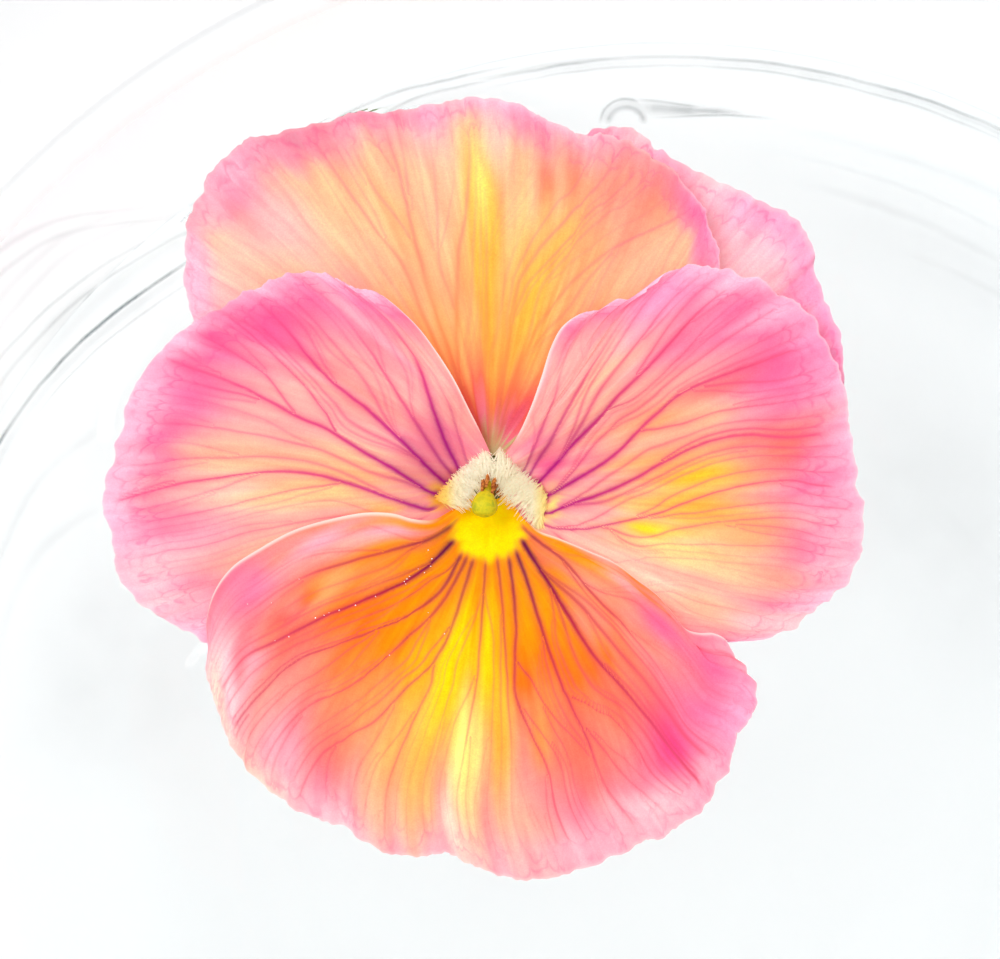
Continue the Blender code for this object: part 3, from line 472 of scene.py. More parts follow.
# Vein colours from the throat to the margin, and how strongly they show there and there.
VEIN_COLOURS = {
    "petal_upper_right": ("#ee6f9c", "#f27aa8", "#f47fb2", 0.5, 0.5),
    "petal_upper_left": ("#d95a50", "#f0854a", "#f0688c", 0.6, 0.5),
    "petal_side_left": ("#ae2086", "#d8387e", "#ea5088", 1.0, 0.75),
    "petal_side_right": ("#b0207e", "#d83876", "#ea527c", 1.0, 0.75),
    "petal_lower": ("#6e1648", "#b81e48", "#de4c6a", 1.0, 0.75),
}
LOOP_COLOURS = {
    "petal_upper_right": "#f5589f", "petal_upper_left": "#f24c94", "petal_side_left": "#f2448e",
    "petal_side_right": "#f04888", "petal_lower": "#ee5c8e",
}
# Rows of loops that join the veins by the margin: inset, depth, width and strength.
LOOPS = {
    "petal_upper_right": ((-0.6, 0.7, 0.2, 0.4), (0.6, 0.9, 0.2, 0.3)),
    "petal_upper_left": ((-0.9, 0.7, 0.22, 0.32), (0.3, 0.9, 0.22, 0.22)),
    "petal_side_left": ((-0.7, 0.7, 0.16, 0.25), (0.4, 0.9, 0.18, 0.4), (1.7, 1.0, 0.2, 0.35)),
    "petal_side_right": ((-0.7, 0.7, 0.16, 0.25), (0.4, 0.9, 0.18, 0.4), (1.5, 1.0, 0.2, 0.3)),
    "petal_lower": ((-0.9, 0.7, 0.2, 0.3), (0.2, 0.9, 0.2, 0.25)),
}
SPACING = {
    "petal_upper_right": 1.3, "petal_upper_left": 1.3, "petal_side_left": 1.4, "petal_side_right": 1.4,
    "petal_lower": 1.25,
}
RIM_WIDTH = 0.2
# How many faint veins fill up the main ones.
FILLERS = {
    "petal_upper_right": 12, "petal_upper_left": 13, "petal_side_left": 9, "petal_side_right": 9,
    "petal_lower": 9,
}
# Pale rims on each petal's first side, its margin and its last side.
RIMS = {
    "petal_upper_right": (0.0, 0.3, 0.0), "petal_upper_left": (0.1, 0.3, 0.3),
    "petal_side_left": (0.2, 0.25, 0.9), "petal_side_right": (0.9, 0.35, 0.4),
    "petal_lower": (0.8, 0.35, 0.95),
}
EYE_CENTRE = (-0.3, -2.4)
EYE_RADII = (2.75, 2.35)
LIP_HEIGHT = 0.95
EYE_YELLOW = "#ffe600"
EYE_CORNER = "#ffc400"
GROOVE_AT = -0.2
GROOVE_DEPTH = 0.16
GROOVE_WIDTH = 0.35

# Places of the specks of water on the lower petal.
DEW = [
    (-13.4, -9.2), (-14.1, -9.4), (-13.0, -9.0), (-12.2, -8.8), (-10.9, -8.4), (-9.3, -7.7), (-7.0, -6.5),
    (-6.6, -6.1), (-5.9, -5.5), (-4.8, -4.7), (-15.4, -6.3), (-19.5, -8.3), (-17.6, -8.2), (-17.3, -11.2),
    (-16.2, -10.9), (-3.8, -10.7), (-5.1, -9.0), (-5.4, -5.8), (-4.9, -5.3), (-5.1, -4.0), (-6.8, -6.3),
    (-6.9, -6.7), (-8.2, -12.4),
]

SPUR = [
    (-0.1, -3.1, -2.5, 0.7), (-0.1, -3.8, -3.5, 1.0), (-0.1, -4.3, -5.0, 0.95), (-0.1, -4.2, -7.0, 0.8),
    (-0.1, -3.95, -7.7, 0.5), (-0.1, -3.9, -7.95, 0.15),
]
SEPAL_AZIMUTHS = (90.0, 20.0, 160.0, 228.0, 312.0)
SEPAL_RUN = [
    (2.9, -7.6, 0.9), (2.7, -6.4, 2.0), (2.6, -5.2, 2.3), (2.9, -4.2, 2.3), (4.4, -3.2, 2.5),
    (6.4, -2.4, 2.4), (8.4, -1.8, 1.7), (10.4, -1.4, 0.5),
]
STEM_RADII = (0.8, 0.66)
STEM_LENGTH = 12.0
STEM_SWAY = (0.8, -1.4)

# Painted glow that lifts the petals' shade, the share of light that passes through the thin petals, and each
# petal's veins: their width, and how far and how strongly they bleed into its skin.
PETAL_PAINTED_GLOW = 0.16
PETAL_THINNESS = 0.25
INK = {
    "petal_upper_right": (0.2, 0.5, 0.3), "petal_upper_left": (0.24, 0.6, 0.35),
    "petal_side_left": (0.16, 0.5, 0.42), "petal_side_right": (0.16, 0.5, 0.42),
    "petal_lower": (0.17, 0.5, 0.32),
}
RIM_COLOUR = "#fff3ea"
UNDERSIDE = "#f6c9c4"
# Tints of the beards' hairs, from 5 mm left of the throat to 5 mm right of it.
HAIR_TINTS = [
    (0.06, "#ffc814"), (0.13, "#ffe060"), (0.21, "#fdf2cc"), (0.3, "#fdf7e4"), (0.82, "#fdf6da"),
    (0.91, "#ffee90"),
]
# The table is a light table under the bowl: distance from the bowl's axis, glow, and how much light its
# top gives back.
TABLE = [
    (0.0, 0.89, 0.2), (25.0, 0.88, 0.2), (38.0, 0.80, 0.25), (45.0, 0.76, 0.32), (52.0, 0.67, 0.4),
    (58.0, 0.63, 0.5), (64.0, 0.50, 0.6), (70.0, 0.36, 0.7), (76.0, 0.20, 0.8), (90.0, 0.02, 0.83),
]

# Painted reflections and shade in the water and in the glass: streaks of the room, dark refraction lines at
# the waterline and round a bubble, and soft painted shadows. Each has its centre from the bowl's axis, its
# radius, the change of radius for a degree past 90, a swing of the radius with its azimuth and spread, its
# width, the azimuths where it starts and ends, over how many degrees it does so, and its strength.
GLASS_COLOUR = "#fcfefe"
PAINTED_STREAK_COLOUR = "#3c4a4e"
WATER_STREAKS = [
    (0.0, 0.0, 61.35, 0.0, -2.4, 128.0, 11.0, 0.17, 129.0, 165.0, 3.0, 0.95),
    (0.0, 0.0, 60.8, 0.0, -2.4, 128.0, 11.0, 0.5, 129.0, 165.0, 5.0, 0.25),
    (0.0, 0.0, 60.1, 0.0, -2.6, 128.0, 11.0, 0.12, 129.0, 150.0, 5.0, 0.3),
    (0.0, 0.0, 61.4, -0.0125, 0.0, 90.0, 10.0, 0.15, 50.0, 80.0, 9.0, 0.85),
    (0.0, 0.0, 61.4, -0.0125, 0.0, 90.0, 10.0, 0.15, 66.0, 106.0, 8.0, 0.6),
    (0.0, 0.0, 60.75, -0.01, 0.0, 90.0, 10.0, 0.13, 58.0, 104.0, 10.0, 0.5),
    (0.0, 0.0, 61.05, -0.01, 0.0, 90.0, 10.0, 0.45, 56.0, 104.0, 8.0, 0.2),
    (0.0, 0.0, 61.9, 0.0, 0.5, 112.0, 5.0, 0.14, 101.0, 118.0, 4.0, 0.5),
    (0.0, 0.0, 61.1, 0.0, 0.3, 108.0, 3.0, 0.14, 102.0, 114.0, 3.0, 0.4),
    (-3.04, 56.0, 1.5, 0.0, 0.0, 90.0, 40.0, 0.26, 2.0, 179.9, 20.0, 1.0),
    (-3.04, 56.0, 1.5, 0.0, 0.0, 90.0, 40.0, 0.26, -180.0, -150.0, 20.0, 1.0),
    (-3.04, 56.0, 2.12, 0.0, 0.0, 90.0, 40.0, 0.14, 55.0, 179.9, 20.0, 1.0),
    (-3.04, 56.0, 1.85, 0.0, 0.0, 90.0, 40.0, 0.36, 20.0, 179.9, 20.0, 0.4),
    (0.0, 0.0, 57.87, 0.12, 0.0, 90.0, 10.0, 0.14, 86.6, 92.6, 1.5, 0.7),
    (0.0, 0.0, 57.4, 0.06, 0.0, 90.0, 10.0, 0.46, 86.2, 92.6, 1.8, 0.75),
    (0.0, 0.0, 57.3, 0.02, 0.0, 90.0, 10.0, 0.26, 83.2, 92.2, 2.6, 0.65),
    (0.0, 0.0, 56.72, -0.05, 0.0, 90.0, 10.0, 0.13, 80.6, 91.6, 4.0, 0.6),
    (0.0, 0.0, 52.5, 0.0, 0.0, 90.0, 10.0, 0.5, 54.0, 80.0, 8.0, 0.14),
    (0.0, 0.0, 54.6, 0.0, 0.0, 90.0, 10.0, 0.25, 54.0, 84.0, 8.0, 0.10),
    (0.0, 0.0, 48.6, -0.05, 0.0, 70.0, 10.0, 0.6, 50.0, 72.0, 7.0, 0.14),
    (0.0, 0.0, 50.2, 0.0, 0.0, 70.0, 10.0, 3.4, 46.0, 78.0, 12.0, 0.09),
    (0.0, 0.0, 56.6, 0.0, 0.6, 60.0, 8.0, 0.4, 54.0, 82.0, 8.0, 0.12),
    (0.0, 0.0, 34.0, 0.0, 0.0, 60.0, 10.0, 7.0, 22.0, 70.0, 14.0, 0.13),
    (0.0, 0.0, 57.4, 0.0, -2.8, 142.0, 6.0, 0.5, 142.0, 172.0, 6.0, 0.2),
    (0.0, 0.0, 55.3, 0.0, -5.0, 146.0, 7.5, 0.7, 148.0, 176.0, 6.0, 0.2),
    (0.0, 0.0, 46.0, 0.0, 0.0, 160.0, 10.0, 7.0, 148.0, 179.0, 12.0, 0.2),
]
GLASS_STREAKS = [
    (0.0, 0.0, 64.8, 0.0, -3.1, 126.0, 11.0, 0.17, 123.0, 165.0, 5.0, 0.4),
    (0.0, 0.0, 63.4, 0.0, -2.0, 126.0, 11.0, 0.9, 124.0, 165.0, 6.0, 0.2),
    (0.0, 0.0, 69.8, 0.0, -7.2, 126.0, 8.0, 0.25, 125.0, 146.0, 6.0, 0.25),
    (0.0, 0.0, 67.2, 0.0, -5.0, 124.0, 8.0, 0.4, 120.0, 160.0, 8.0, 0.18),
    (0.0, 0.0, 62.4, 0.0, 0.0, 90.0, 10.0, 0.16, 50.0, 112.0, 12.0, 0.22),
]

# The sky's colour by its height.
SKY = [(0.0, (0.96, 0.97, 0.98)), (0.06, (0.82, 0.85, 0.87)), (0.13, (0.99, 0.99, 1.0)), (0.6, WHITE)]

# Camera: straight above, as far off as the perspective of the bowl suggests.
CAMERA_DISTANCE = 400.0
FRAME_WIDTH = 80.0
FRAME_CENTRE = (-13.16, 27.64)
SENSOR = 36.0


def smooth(value):
    t = np.clip(value, 0.0, 1.0)
    return t * t * (3.0 - 2.0 * t)


def wall_point(angle, offset=0.0):
    a = math.radians(angle)
    r, z = INNER_HALF_WIDTH * math.sin(a), FLOOR_THICKNESS + INNER_DEPTH * (1.0 - math.cos(a))
    normal_r, normal_z = INNER_DEPTH * math.sin(a), -INNER_HALF_WIDTH * math.cos(a)
    length = math.hypot(normal_r, normal_z)
    return r + offset * normal_r / length, z + offset * normal_z / length


WATER_LEVEL = wall_point(WATER_ANGLE)[1]
WATER_RADIUS = wall_point(WATER_ANGLE)[0]
THROAT_PLACE = np.array([*THROAT, WATER_LEVEL])
FLOWER_AXIS = np.array([THROAT[0] + RECEPTACLE[0], THROAT[1] + RECEPTACLE[1], WATER_LEVEL])
UP = np.array([0.0, 0.0, 1.0])


def linear(code):
    """A colour code as linear red, green and blue."""
    out = []
    for i in (1, 3, 5):
        c = int(code[i : i + 2], 16) / 255.0
        out.append(c / 12.92 if c <= 0.04045 else ((c + 0.055) / 1.055) ** 2.4)
    return np.array(out)


def noise_line(count, cycles, random, harmonics=6):
    """A smooth wandering line of values of about -1 to 1 over 0 to 1, with this many cycles."""
    t = np.linspace(0.0, 1.0, count)
    out = np.zeros(count)
    for _ in range(harmonics):
        out += np.sin(2.0 * math.pi * (cycles * random.uniform(0.5, 1.6) * t + random.uniform()))
    return out / math.sqrt(harmonics)


# Meshes


def fast_mesh(name, points, *groups):
    """A mesh from an array of points in millimetres and arrays of faces, each with its own corner count."""
    points = np.asarray(points, np.float32) * MM
    corners = np.concatenate([np.asarray(g, np.int32).ravel() for g in groups])
    counts = np.concatenate([np.full(len(g), g.shape[1], np.int32) for g in groups])
    mesh = bpy.data.meshes.new(name)
    mesh.vertices.add(len(points))
    mesh.vertices.foreach_set("co", points.ravel())
    mesh.loops.add(len(corners))
    mesh.loops.foreach_set("vertex_index", corners)
    mesh.polygons.add(len(counts))
    mesh.polygons.foreach_set("loop_start", np.concatenate([[0], np.cumsum(counts)[:-1]]).astype(np.int32))
    mesh.update(calc_edges=True)
    mesh.validate()
    mesh.shade_smooth()
    return mesh


def set_values(mesh, name, values):
    values = np.asarray(values, np.float32)
    if values.ndim == 1:
        mesh.attributes.new(name, "FLOAT", "POINT").data.foreach_set("value", values)
        return
    if values.shape[1] == 4:
        mesh.attributes.new(name, "FLOAT_COLOR", "POINT").data.foreach_set("color", values.ravel())
        return
    mesh.attributes.new(name, "FLOAT_VECTOR", "POINT").data.foreach_set("vector", values.ravel())


def piece(name, mesh, finish, nodes=(), sharp=None):
    """Links a piece of the object, which rides on its one body."""
    obj = bpy.data.objects.new(name, mesh)
    bpy.context.scene.collection.objects.link(obj)
    for each in finish if isinstance(finish, list) else [finish]:
        mesh.materials.append(each)
    if sharp:
        mesh.set_sharp_from_angle(angle=math.radians(sharp))
    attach(obj, "root")
    if nodes:
        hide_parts(*nodes)
    return obj


def grid_faces(rows, columns, wrap=False, start=0, flip=False):
    i = np.arange(rows - 1)[:, None]
    j = np.arange(columns if wrap else columns - 1)[None, :]
    k = (j + 1) % columns
    a, b = start + i * columns + j, start + i * columns + k
    c, d = start + (i + 1) * columns + k, start + (i + 1) * columns + j
    quads = np.stack([a, d, c, b] if not flip else [a, b, c, d], axis=-1)
    return quads.reshape(-1, 4)


def turned(profile, steps):
    """Rings of points that a profile of radii and heights sweeps out round Z."""
    a = np.arange(steps) * 2.0 * math.pi / steps
    x, y = profile[:, 0, None] * np.cos(a), profile[:, 0, None] * np.sin(a)
    return np.stack([x, y, np.repeat(profile[:, 1, None], steps, axis=1)], axis=-1)


def cap(centre, first, steps, flip=False):
    """Triangles from a centre to a ring of points, given as quads whose last corner repeats."""
    j = np.arange(steps)
    k = (j + 1) % steps
    a, b = (first + k, first + j) if flip else (first + j, first + k)
    return np.stack([np.full(steps, centre), a, b, b], axis=-1)


def lathe(profile, steps):
    """Points and quads of a closed body turned about Z, from a profile that starts and ends on the axis."""
    profile = np.asarray(profile, float)
    inner = profile[1:-1]
    points = turned(inner, steps).reshape(-1, 3)
    faces = grid_faces(len(inner), steps, wrap=True)
    top, bottom = len(points), len(points) + 1
    points = np.vstack([points, [0.0, 0.0, profile[0, 1]], [0.0, 0.0, profile[-1, 1]]])
    last = (len(inner) - 1) * steps
    return points, faces, [cap(top, 0, steps), cap(bottom, last, steps, flip=True)]


def mixed_mesh(name, points, quads, triangles):
    """A mesh of quads and of triangles, which are given as quads whose last corner repeats."""
    mesh = bpy.data.meshes.new(name)
    corners = [list(map(int, f)) for f in quads]
    corners += [list(map(int, f[:3])) for part in triangles for f in part]
    mesh.from_pydata([tuple(p) for p in np.asarray(points, float) * MM], [], corners)
    mesh.update()
    mesh.shade_smooth()
    return mesh


def tube_points(path, radii, sides):
    """Rings of points round a path."""
    path, radii = np.asarray(path, float), np.asarray(radii, float)
    along = np.gradient(path, axis=0)
    along /= np.maximum(np.linalg.norm(along, axis=1, keepdims=True), 1e-9)
    helper = np.array([0.31, 0.93, 0.2])
    side = np.cross(along, helper)
    side /= np.maximum(np.linalg.norm(side, axis=1, keepdims=True), 1e-9)
    up = np.cross(side, along)
    a = np.arange(sides) * 2.0 * math.pi / sides
    ring = side[:, None] * np.cos(a)[None, :, None] + up[:, None] * np.sin(a)[None, :, None]
    return path[:, None] + ring * radii[:, None, None]


def tubes_mesh(name, tubes):
    """One mesh of many tubes. Each is (path, radii, sides)."""
    points, faces, count = [], [], 0
    for path, radii, sides in tubes:
        ring = tube_points(path, radii, sides)
        n = len(path)
        points.append(ring.reshape(-1, 3))
        faces.append(grid_faces(n, sides, wrap=True, start=count))
        first, last = count + n * sides, count + n * sides + 1
        points.append(np.array([path[0], path[-1]], float))
        faces.append(cap(first, count, sides))
        faces.append(cap(last, count + (n - 1) * sides, sides, flip=True))
        count = last + 1
    points, faces = np.vstack(points), np.vstack(faces)
    three = faces[:, 2] == faces[:, 3]
    return mixed_mesh(name, points, faces[~three], [faces[three]])


# Petal shapes


def through(points, samples):
    """A smooth curve through the points (centripetal Catmull-Rom)."""
    p = np.asarray(points, float)
    p = np.vstack([2.0 * p[0] - p[1], p, 2.0 * p[-1] - p[-2]])
    out = []
    for i in range(1, len(p) - 2):
        a, b, c, d = p[i - 1 : i + 3]
        ta = math.sqrt(np.linalg.norm(b - a))
        tb = ta + math.sqrt(np.linalg.norm(c - b))
        tc = tb + math.sqrt(np.linalg.norm(d - c))
        t = np.linspace(ta, tb, samples, endpoint=False)[:, None]
        ab = a + (b - a) * t / ta
        bc = b + (c - b) * (t - ta) / (tb - ta)
        cd = c + (d - c) * (t - tb) / (tc - tb)
        abc = ab + (bc - ab) * t / tb
        bcd = bc + (cd - bc) * (t - ta) / (tc - ta)
        out.append(abc + (bcd - abc) * (t - ta) / (tb - ta))
    out.append(p[-2:-1])
    return np.vstack(out)


def length_of(curve):
    return np.linalg.norm(np.diff(curve, axis=0), axis=1).sum()


def even(curve, shares):
    """Points of a curve at these shares of its length."""
    steps = np.linalg.norm(np.diff(curve, axis=0), axis=1)
    run = np.concatenate([[0.0], np.cumsum(steps)]) / steps.sum()
    return np.stack([np.interp(shares, run, curve[:, k]) for k in range(curve.shape[1])], axis=1)


def claw_arc(claw, shares):
    start, end, radius = claw
    a = np.radians(start + (end - start) * shares)
    return np.stack([RECEPTACLE[0] + radius * np.cos(a), RECEPTACLE[1] + radius * np.sin(a)], axis=1)


def crinkled(curve, random, size=0.1):
    """Small irregular scallops along a margin, which fade out at its ends."""
    length = length_of(curve)
    along = np.gradient(curve, axis=0)
    along /= np.linalg.norm(along, axis=1, keepdims=True)
    out = np.stack([-along[:, 1], along[:, 0]], axis=1)
    n = len(curve)
    wave = noise_line(n, length / 2.6, random) + 0.5 * noise_line(n, length / 1.0, random)
    t = np.linspace(0.0, 1.0, n)
    return curve + out * (size * wave * smooth(t / 0.05) * smooth((1.0 - t) / 0.05))[:, None]


def petal_plan(name):
    """The petal in plan as a grid from its claw to its margin (a Coons patch), and its outline."""
    petal = PETALS[name]
    rows, columns = petal["grid"]
    u = (np.arange(rows + 1) / rows) ** ROW_CROWDING
    v = np.arange(columns + 1) / columns
    corners = claw_arc(petal["claw"], np.array([0.0, 1.0]))
    stops = [corners[0], *petal["side_out"], *petal["margin"], *petal["side_back"], corners[1]]
    outline = through(stops, OUTLINE_SAMPLES)
    first = (len(petal["side_out"]) + 1) * OUTLINE_SAMPLES
    last = first + (len(petal["margin"]) - 1) * OUTLINE_SAMPLES
    random = np.random.default_rng(len(name) + rows)
    free = crinkled(outline[first : last + 1], random)
    start_side, end_side = even(outline[: first + 1], u), even(outline[last:][::-1], u)
    margin, claw = even(free, v), claw_arc(petal["claw"], v)
    uu, vv = u[:, None, None], v[None, :, None]
    sides = (1 - vv) * start_side[:, None] + vv * end_side[:, None]
    ends = (1 - uu) * claw[None] + uu * margin[None]
    flat = (1 - uu) * ((1 - vv) * claw[0] + vv * claw[-1]) + uu * ((1 - vv) * margin[0] + vv * margin[-1])
    return sides + ends - flat, outline[:: OUTLINE_SAMPLES // 3]


def distance_outside(points, outline):
    """How far each point lies outside a closed outline, and 0 inside it."""
    a, b = outline, np.roll(outline, -1, axis=0)
    along = b - a
    flat = points.reshape(-1, 2)
    out = np.empty(len(flat))
    for k in range(0, len(flat), 8000):
        p = flat[k : k + 8000, None]
        t = np.clip(((p - a) * along).sum(-1) / np.maximum((along**2).sum(-1), 1e-9), 0.0, 1.0)
        gap = np.linalg.norm(p - (a + along * t[..., None]), axis=-1).min(axis=1)
        x, y = p[..., 0], p[..., 1]
        straddles = (a[:, 1] <= y) != (b[:, 1] <= y)
        crossing = a[:, 0] + (y - a[:, 1]) * along[:, 0] / np.where(along[:, 1] == 0.0, 1.0, along[:, 1])
        inside = (straddles & (x < crossing)).sum(axis=1) % 2 == 1
        out[k : k + 8000] = np.where(inside, 0.0, gap)
    return out.reshape(points.shape[:-1])


def stacking(name, azimuth):
    stops = STACKING[name]
    heights = np.full(azimuth.shape, stops[0][1])
    for (a, low), (b, high) in zip(stops, stops[1:]):
        heights = heights + (high - low) * smooth((azimuth - a) / (b - a))
    return heights


def pleat(plan):
    start, end = np.array(PLEAT_START), np.array(PLEAT_END)
    along = (end - start) / np.linalg.norm(end - start)
    across = np.array([along[1], -along[0]])
    near, width = PLEAT_FADE
    inward, outward = (plan - start) @ along, (plan - start) @ across
    step = smooth(outward / PLEAT_STEP + 0.5)
    return PLEAT_HEIGHT * step * smooth((inward + 1.5) / 2.5) * (1.0 - smooth((outward - near) / width))


def grid_noise(shape, cells, random):
    """Smooth noise of about -1 to 1 on a grid, bicubic between random values at this many cells each way."""
    rows, columns = shape
    coarse = random.normal(size=(cells[0] + 3, cells[1] + 3))

    def weights(count, n):
        t = np.linspace(0.0, n - 1e-6, count)
        i, f = t.astype(int), t - t.astype(int)
        g = 1 - f
        w = [g**3 / 6, (3 * f**3 - 6 * f**2 + 4) / 6, (-3 * f**3 + 3 * f**2 + 3 * f + 1) / 6, f**3 / 6]
        m = np.zeros((count, n + 3))
        for k in range(4):
            m[np.arange(count), i + k] += w[k]
        return m

    return 1.6 * weights(rows, cells[0]) @ coarse @ weights(columns, cells[1]).T


def petal_height(name, plan, covers, random):
    """Height of the petal's upper side over the water, on its grid in plan."""
    rel = plan - np.array(RECEPTACLE)
    from_axis = np.linalg.norm(rel, axis=-1)
    claw = PETALS[name]["claw"]
    middle = 0.5 * (claw[0] + claw[1])
    azimuth = np.degrees(np.arctan2(rel[..., 1], rel[..., 0]))
    azimuth = middle + (azimuth - middle + 180.0) % 360.0 - 180.0
    rise = smooth((from_axis - FUNNEL_START) / (FUNNEL_END - FUNNEL_START))
    funnel = CLAW_HEIGHT + (FLOAT_HEIGHT - CLAW_HEIGHT) * rise
    clear = np.ones(from_axis.shape)
    for cover in covers:
        clear = clear * smooth((distance_outside(plan, cover) - COVER_MARGIN) / COVER_FADE)
    rows, columns = from_axis.shape
    u = np.linspace(0.0, 1.0, rows)[:, None] ** ROW_CROWDING
    v = np.linspace(0.0, 1.0, columns)[None, :]
    height, count, phase = RIPPLES[name]
    wave = 0.5 + 0.5 * np.sin(2.0 * math.pi * (count * v + phase))
    ripple = height * wave * smooth((u - RIPPLE_START) / (1.0 - RIPPLE_START))
    if name == "petal_upper_left":
        ripple = ripple + pleat(plan)
    bulge, frill, grain = (
        size * grid_noise((rows, columns), cells, random) * smooth((u - start) / reach)
        for size, cells, start, reach in UNEVENNESS
    )
    if name == "petal_lower":
        mouth = np.linalg.norm((plan - np.array(EYE_CENTRE)) / np.array(EYE_RADII), axis=-1)
        groove = GROOVE_DEPTH * np.exp(-(((plan[..., 0] - GROOVE_AT) / GROOVE_WIDTH) ** 2))
        funnel = funnel + (LIP_HEIGHT - groove) * (1.0 - smooth((mouth - 0.25) / 0.9))
    from_bowl_axis = np.linalg.norm(plan + np.array(THROAT), axis=-1)
    climb = CLIMB_RATE * np.maximum(from_bowl_axis - CLIMB_START, 0.0) ** 2
    return funnel + stacking(name, azimuth) + (ripple + bulge + frill) * clear + grain + climb


# Veins


class Fan:
    """A petal's grid in plan, with ways between its own coordinates and flower coordinates."""

    def __init__(self, plan):
        self.plan = plan
        self.rows, self.columns = plan.shape[0] - 1, plan.shape[1] - 1
        self.levels = np.linspace(0.0, 1.0, LEVELS + 1)

    def at(self, u, v):
        """Plan points at these shares of the grid's rows and columns."""
        i = np.clip(np.asarray(u) * self.rows, 0, self.rows - 1e-6)
        j = np.clip(np.asarray(v) * self.columns, 0, self.columns - 1e-6)
        a, b = i.astype(int), j.astype(int)
        s, t = (i - a)[..., None], (j - b)[..., None]
        p = self.plan
        near = p[a, b] * (1 - t) + p[a, b + 1] * t
        far = p[a + 1, b] * (1 - t) + p[a + 1, b + 1] * t
        return near * (1 - s) + far * s

    def find(self, points):
        """The grid shares (u, v) nearest to plan points."""
        flat = self.plan.reshape(-1, 2)
        out = []
        for p in points:
            k = int(np.argmin(((flat - p) ** 2).sum(axis=1)))
            out.append((k // (self.columns + 1) / self.rows, k % (self.columns + 1) / self.columns))
        return np.array(out)


def smoothed(line, width=7):
    kernel = np.hanning(width + 2)[1:-1]
    padded = np.concatenate([np.full(width // 2, line[0]), line, np.full(width // 2, line[-1])])
    return np.convolve(padded, kernel / kernel.sum(), "valid")


def leaving(levels, start, own, parent):
    """The parent's value where a branch leaves it, which runs out into the branch's own."""
    return own + (parent - own) * np.exp(-np.maximum(levels - start, 0.0) / 0.05)


def new_vein(line, width, power, leaves_at, fork):
    return {
        "v": line, "start": 0.0, "width": np.full(len(line), width), "power": power, "from": leaves_at,
        "fork": fork,
    }


def main_veins(fan, main, fillers, random):
    """Trunks from the claw and the branches that leave them, in order across the petal."""
    levels = fan.levels
    near_claw = LEVELS // 5
    trunks, branches = [], []
    for width, strength, points in main:
        uv = fan.find(through(points, 6))
        order = np.argsort(uv[:, 0], kind="stable")
        u, v = uv[order, 0], uv[order, 1]
        line = np.interp(levels, u, v)
        slope = (v[-1] - v[-6]) / max(u[-1] - u[-6], 0.02)
        beyond = np.maximum(levels - u[-1], 0.0)
        line = smoothed(line + np.clip(slope, -0.3, 0.3) * 0.2 * (1.0 - np.exp(-beyond / 0.2)))
        line += 0.0006 * noise_line(len(levels), 5.0, random) * (levels > u[0])
        power = strength * np.exp(-beyond / 0.25)
        vein = new_vein(line, width, power, u[0], 0.1)
        if u[0] < 0.3:
            vein["power"] = power * smooth((levels - u[0] + 0.06) / 0.06)
            vein["order"] = (line[LEVELS // 4], 0.0)
            trunks.append(vein)
        else:
            branches.append(vein)
    if main:
        span = [trunk["v"][near_claw] for trunk in trunks]
        fillers = [v0 for v0 in fillers if not min(span) < v0 < max(span)]
    for v0 in fillers:
        line = np.full(len(levels), v0) + 0.004 * noise_line(len(levels), 3.0, random)
        power = random.uniform(0.12, 0.28) * smooth((levels - random.uniform(0.12, 0.25)) / 0.1)
        vein = new_vein(line, FILLER_WIDTH, power, 0.0, 0.24)
        if main:
            gap = min(abs(t["v"][near_claw] - v0) for t in trunks)
            vein["from"] = float(np.clip(0.32 - 1.6 * gap, 0.14, 0.3))
            branches.append(vein)
        else:
            vein["order"] = (v0, 0.0)
            trunks.append(vein)
    for vein in branches:
        k = int(vein["from"] * LEVELS)
        parent = min(trunks, key=lambda t: abs(t["v"][k] - vein["v"][min(k + 2, LEVELS)]))
        share = smooth((levels - vein["from"]) / vein["fork"])
        later = min(k + LEVELS // 4, LEVELS)
        vein["order"] = (parent["order"][0], vein["v"][later] - parent["v"][later])
        vein["v"] = parent["v"] + (vein["v"] - parent["v"]) * share
        vein["start"] = vein["from"]
        for key in ("power", "width"):
            vein[key] = leaving(levels, vein["from"], vein[key], parent[key])
    veins = sorted(trunks + branches, key=lambda vein: vein["order"])
    for low, high in zip(veins, veins[1:]):
        high["v"] = np.maximum(high["v"], low["v"] + 0.003)
    return parted(fan, veins)


def parted(fan, veins):
    """The veins without the weaker one of any two that run side by side for most of their way."""
    kept = veins[:1]
    for vein in veins[1:]:
        last = kept[-1]
        first = max(vein["start"], last["start"]) + 0.15
        ks = [k for k in range(0, LEVELS + 1, 6) if first <= fan.levels[k] <= 0.85]
        ends = [[fan.at(fan.levels[k], np.clip(x["v"][k], 0.0, 1.0)) for k in ks] for x in (last, vein)]
        if ks and np.median(np.linalg.norm(np.subtract(*ends), axis=-1)) < CLOSEST_VEINS:
            if vein["power"][LEVELS // 2] > last["power"][LEVELS // 2]:
                kept[-1] = vein
            continue
        kept.append(vein)
    return kept


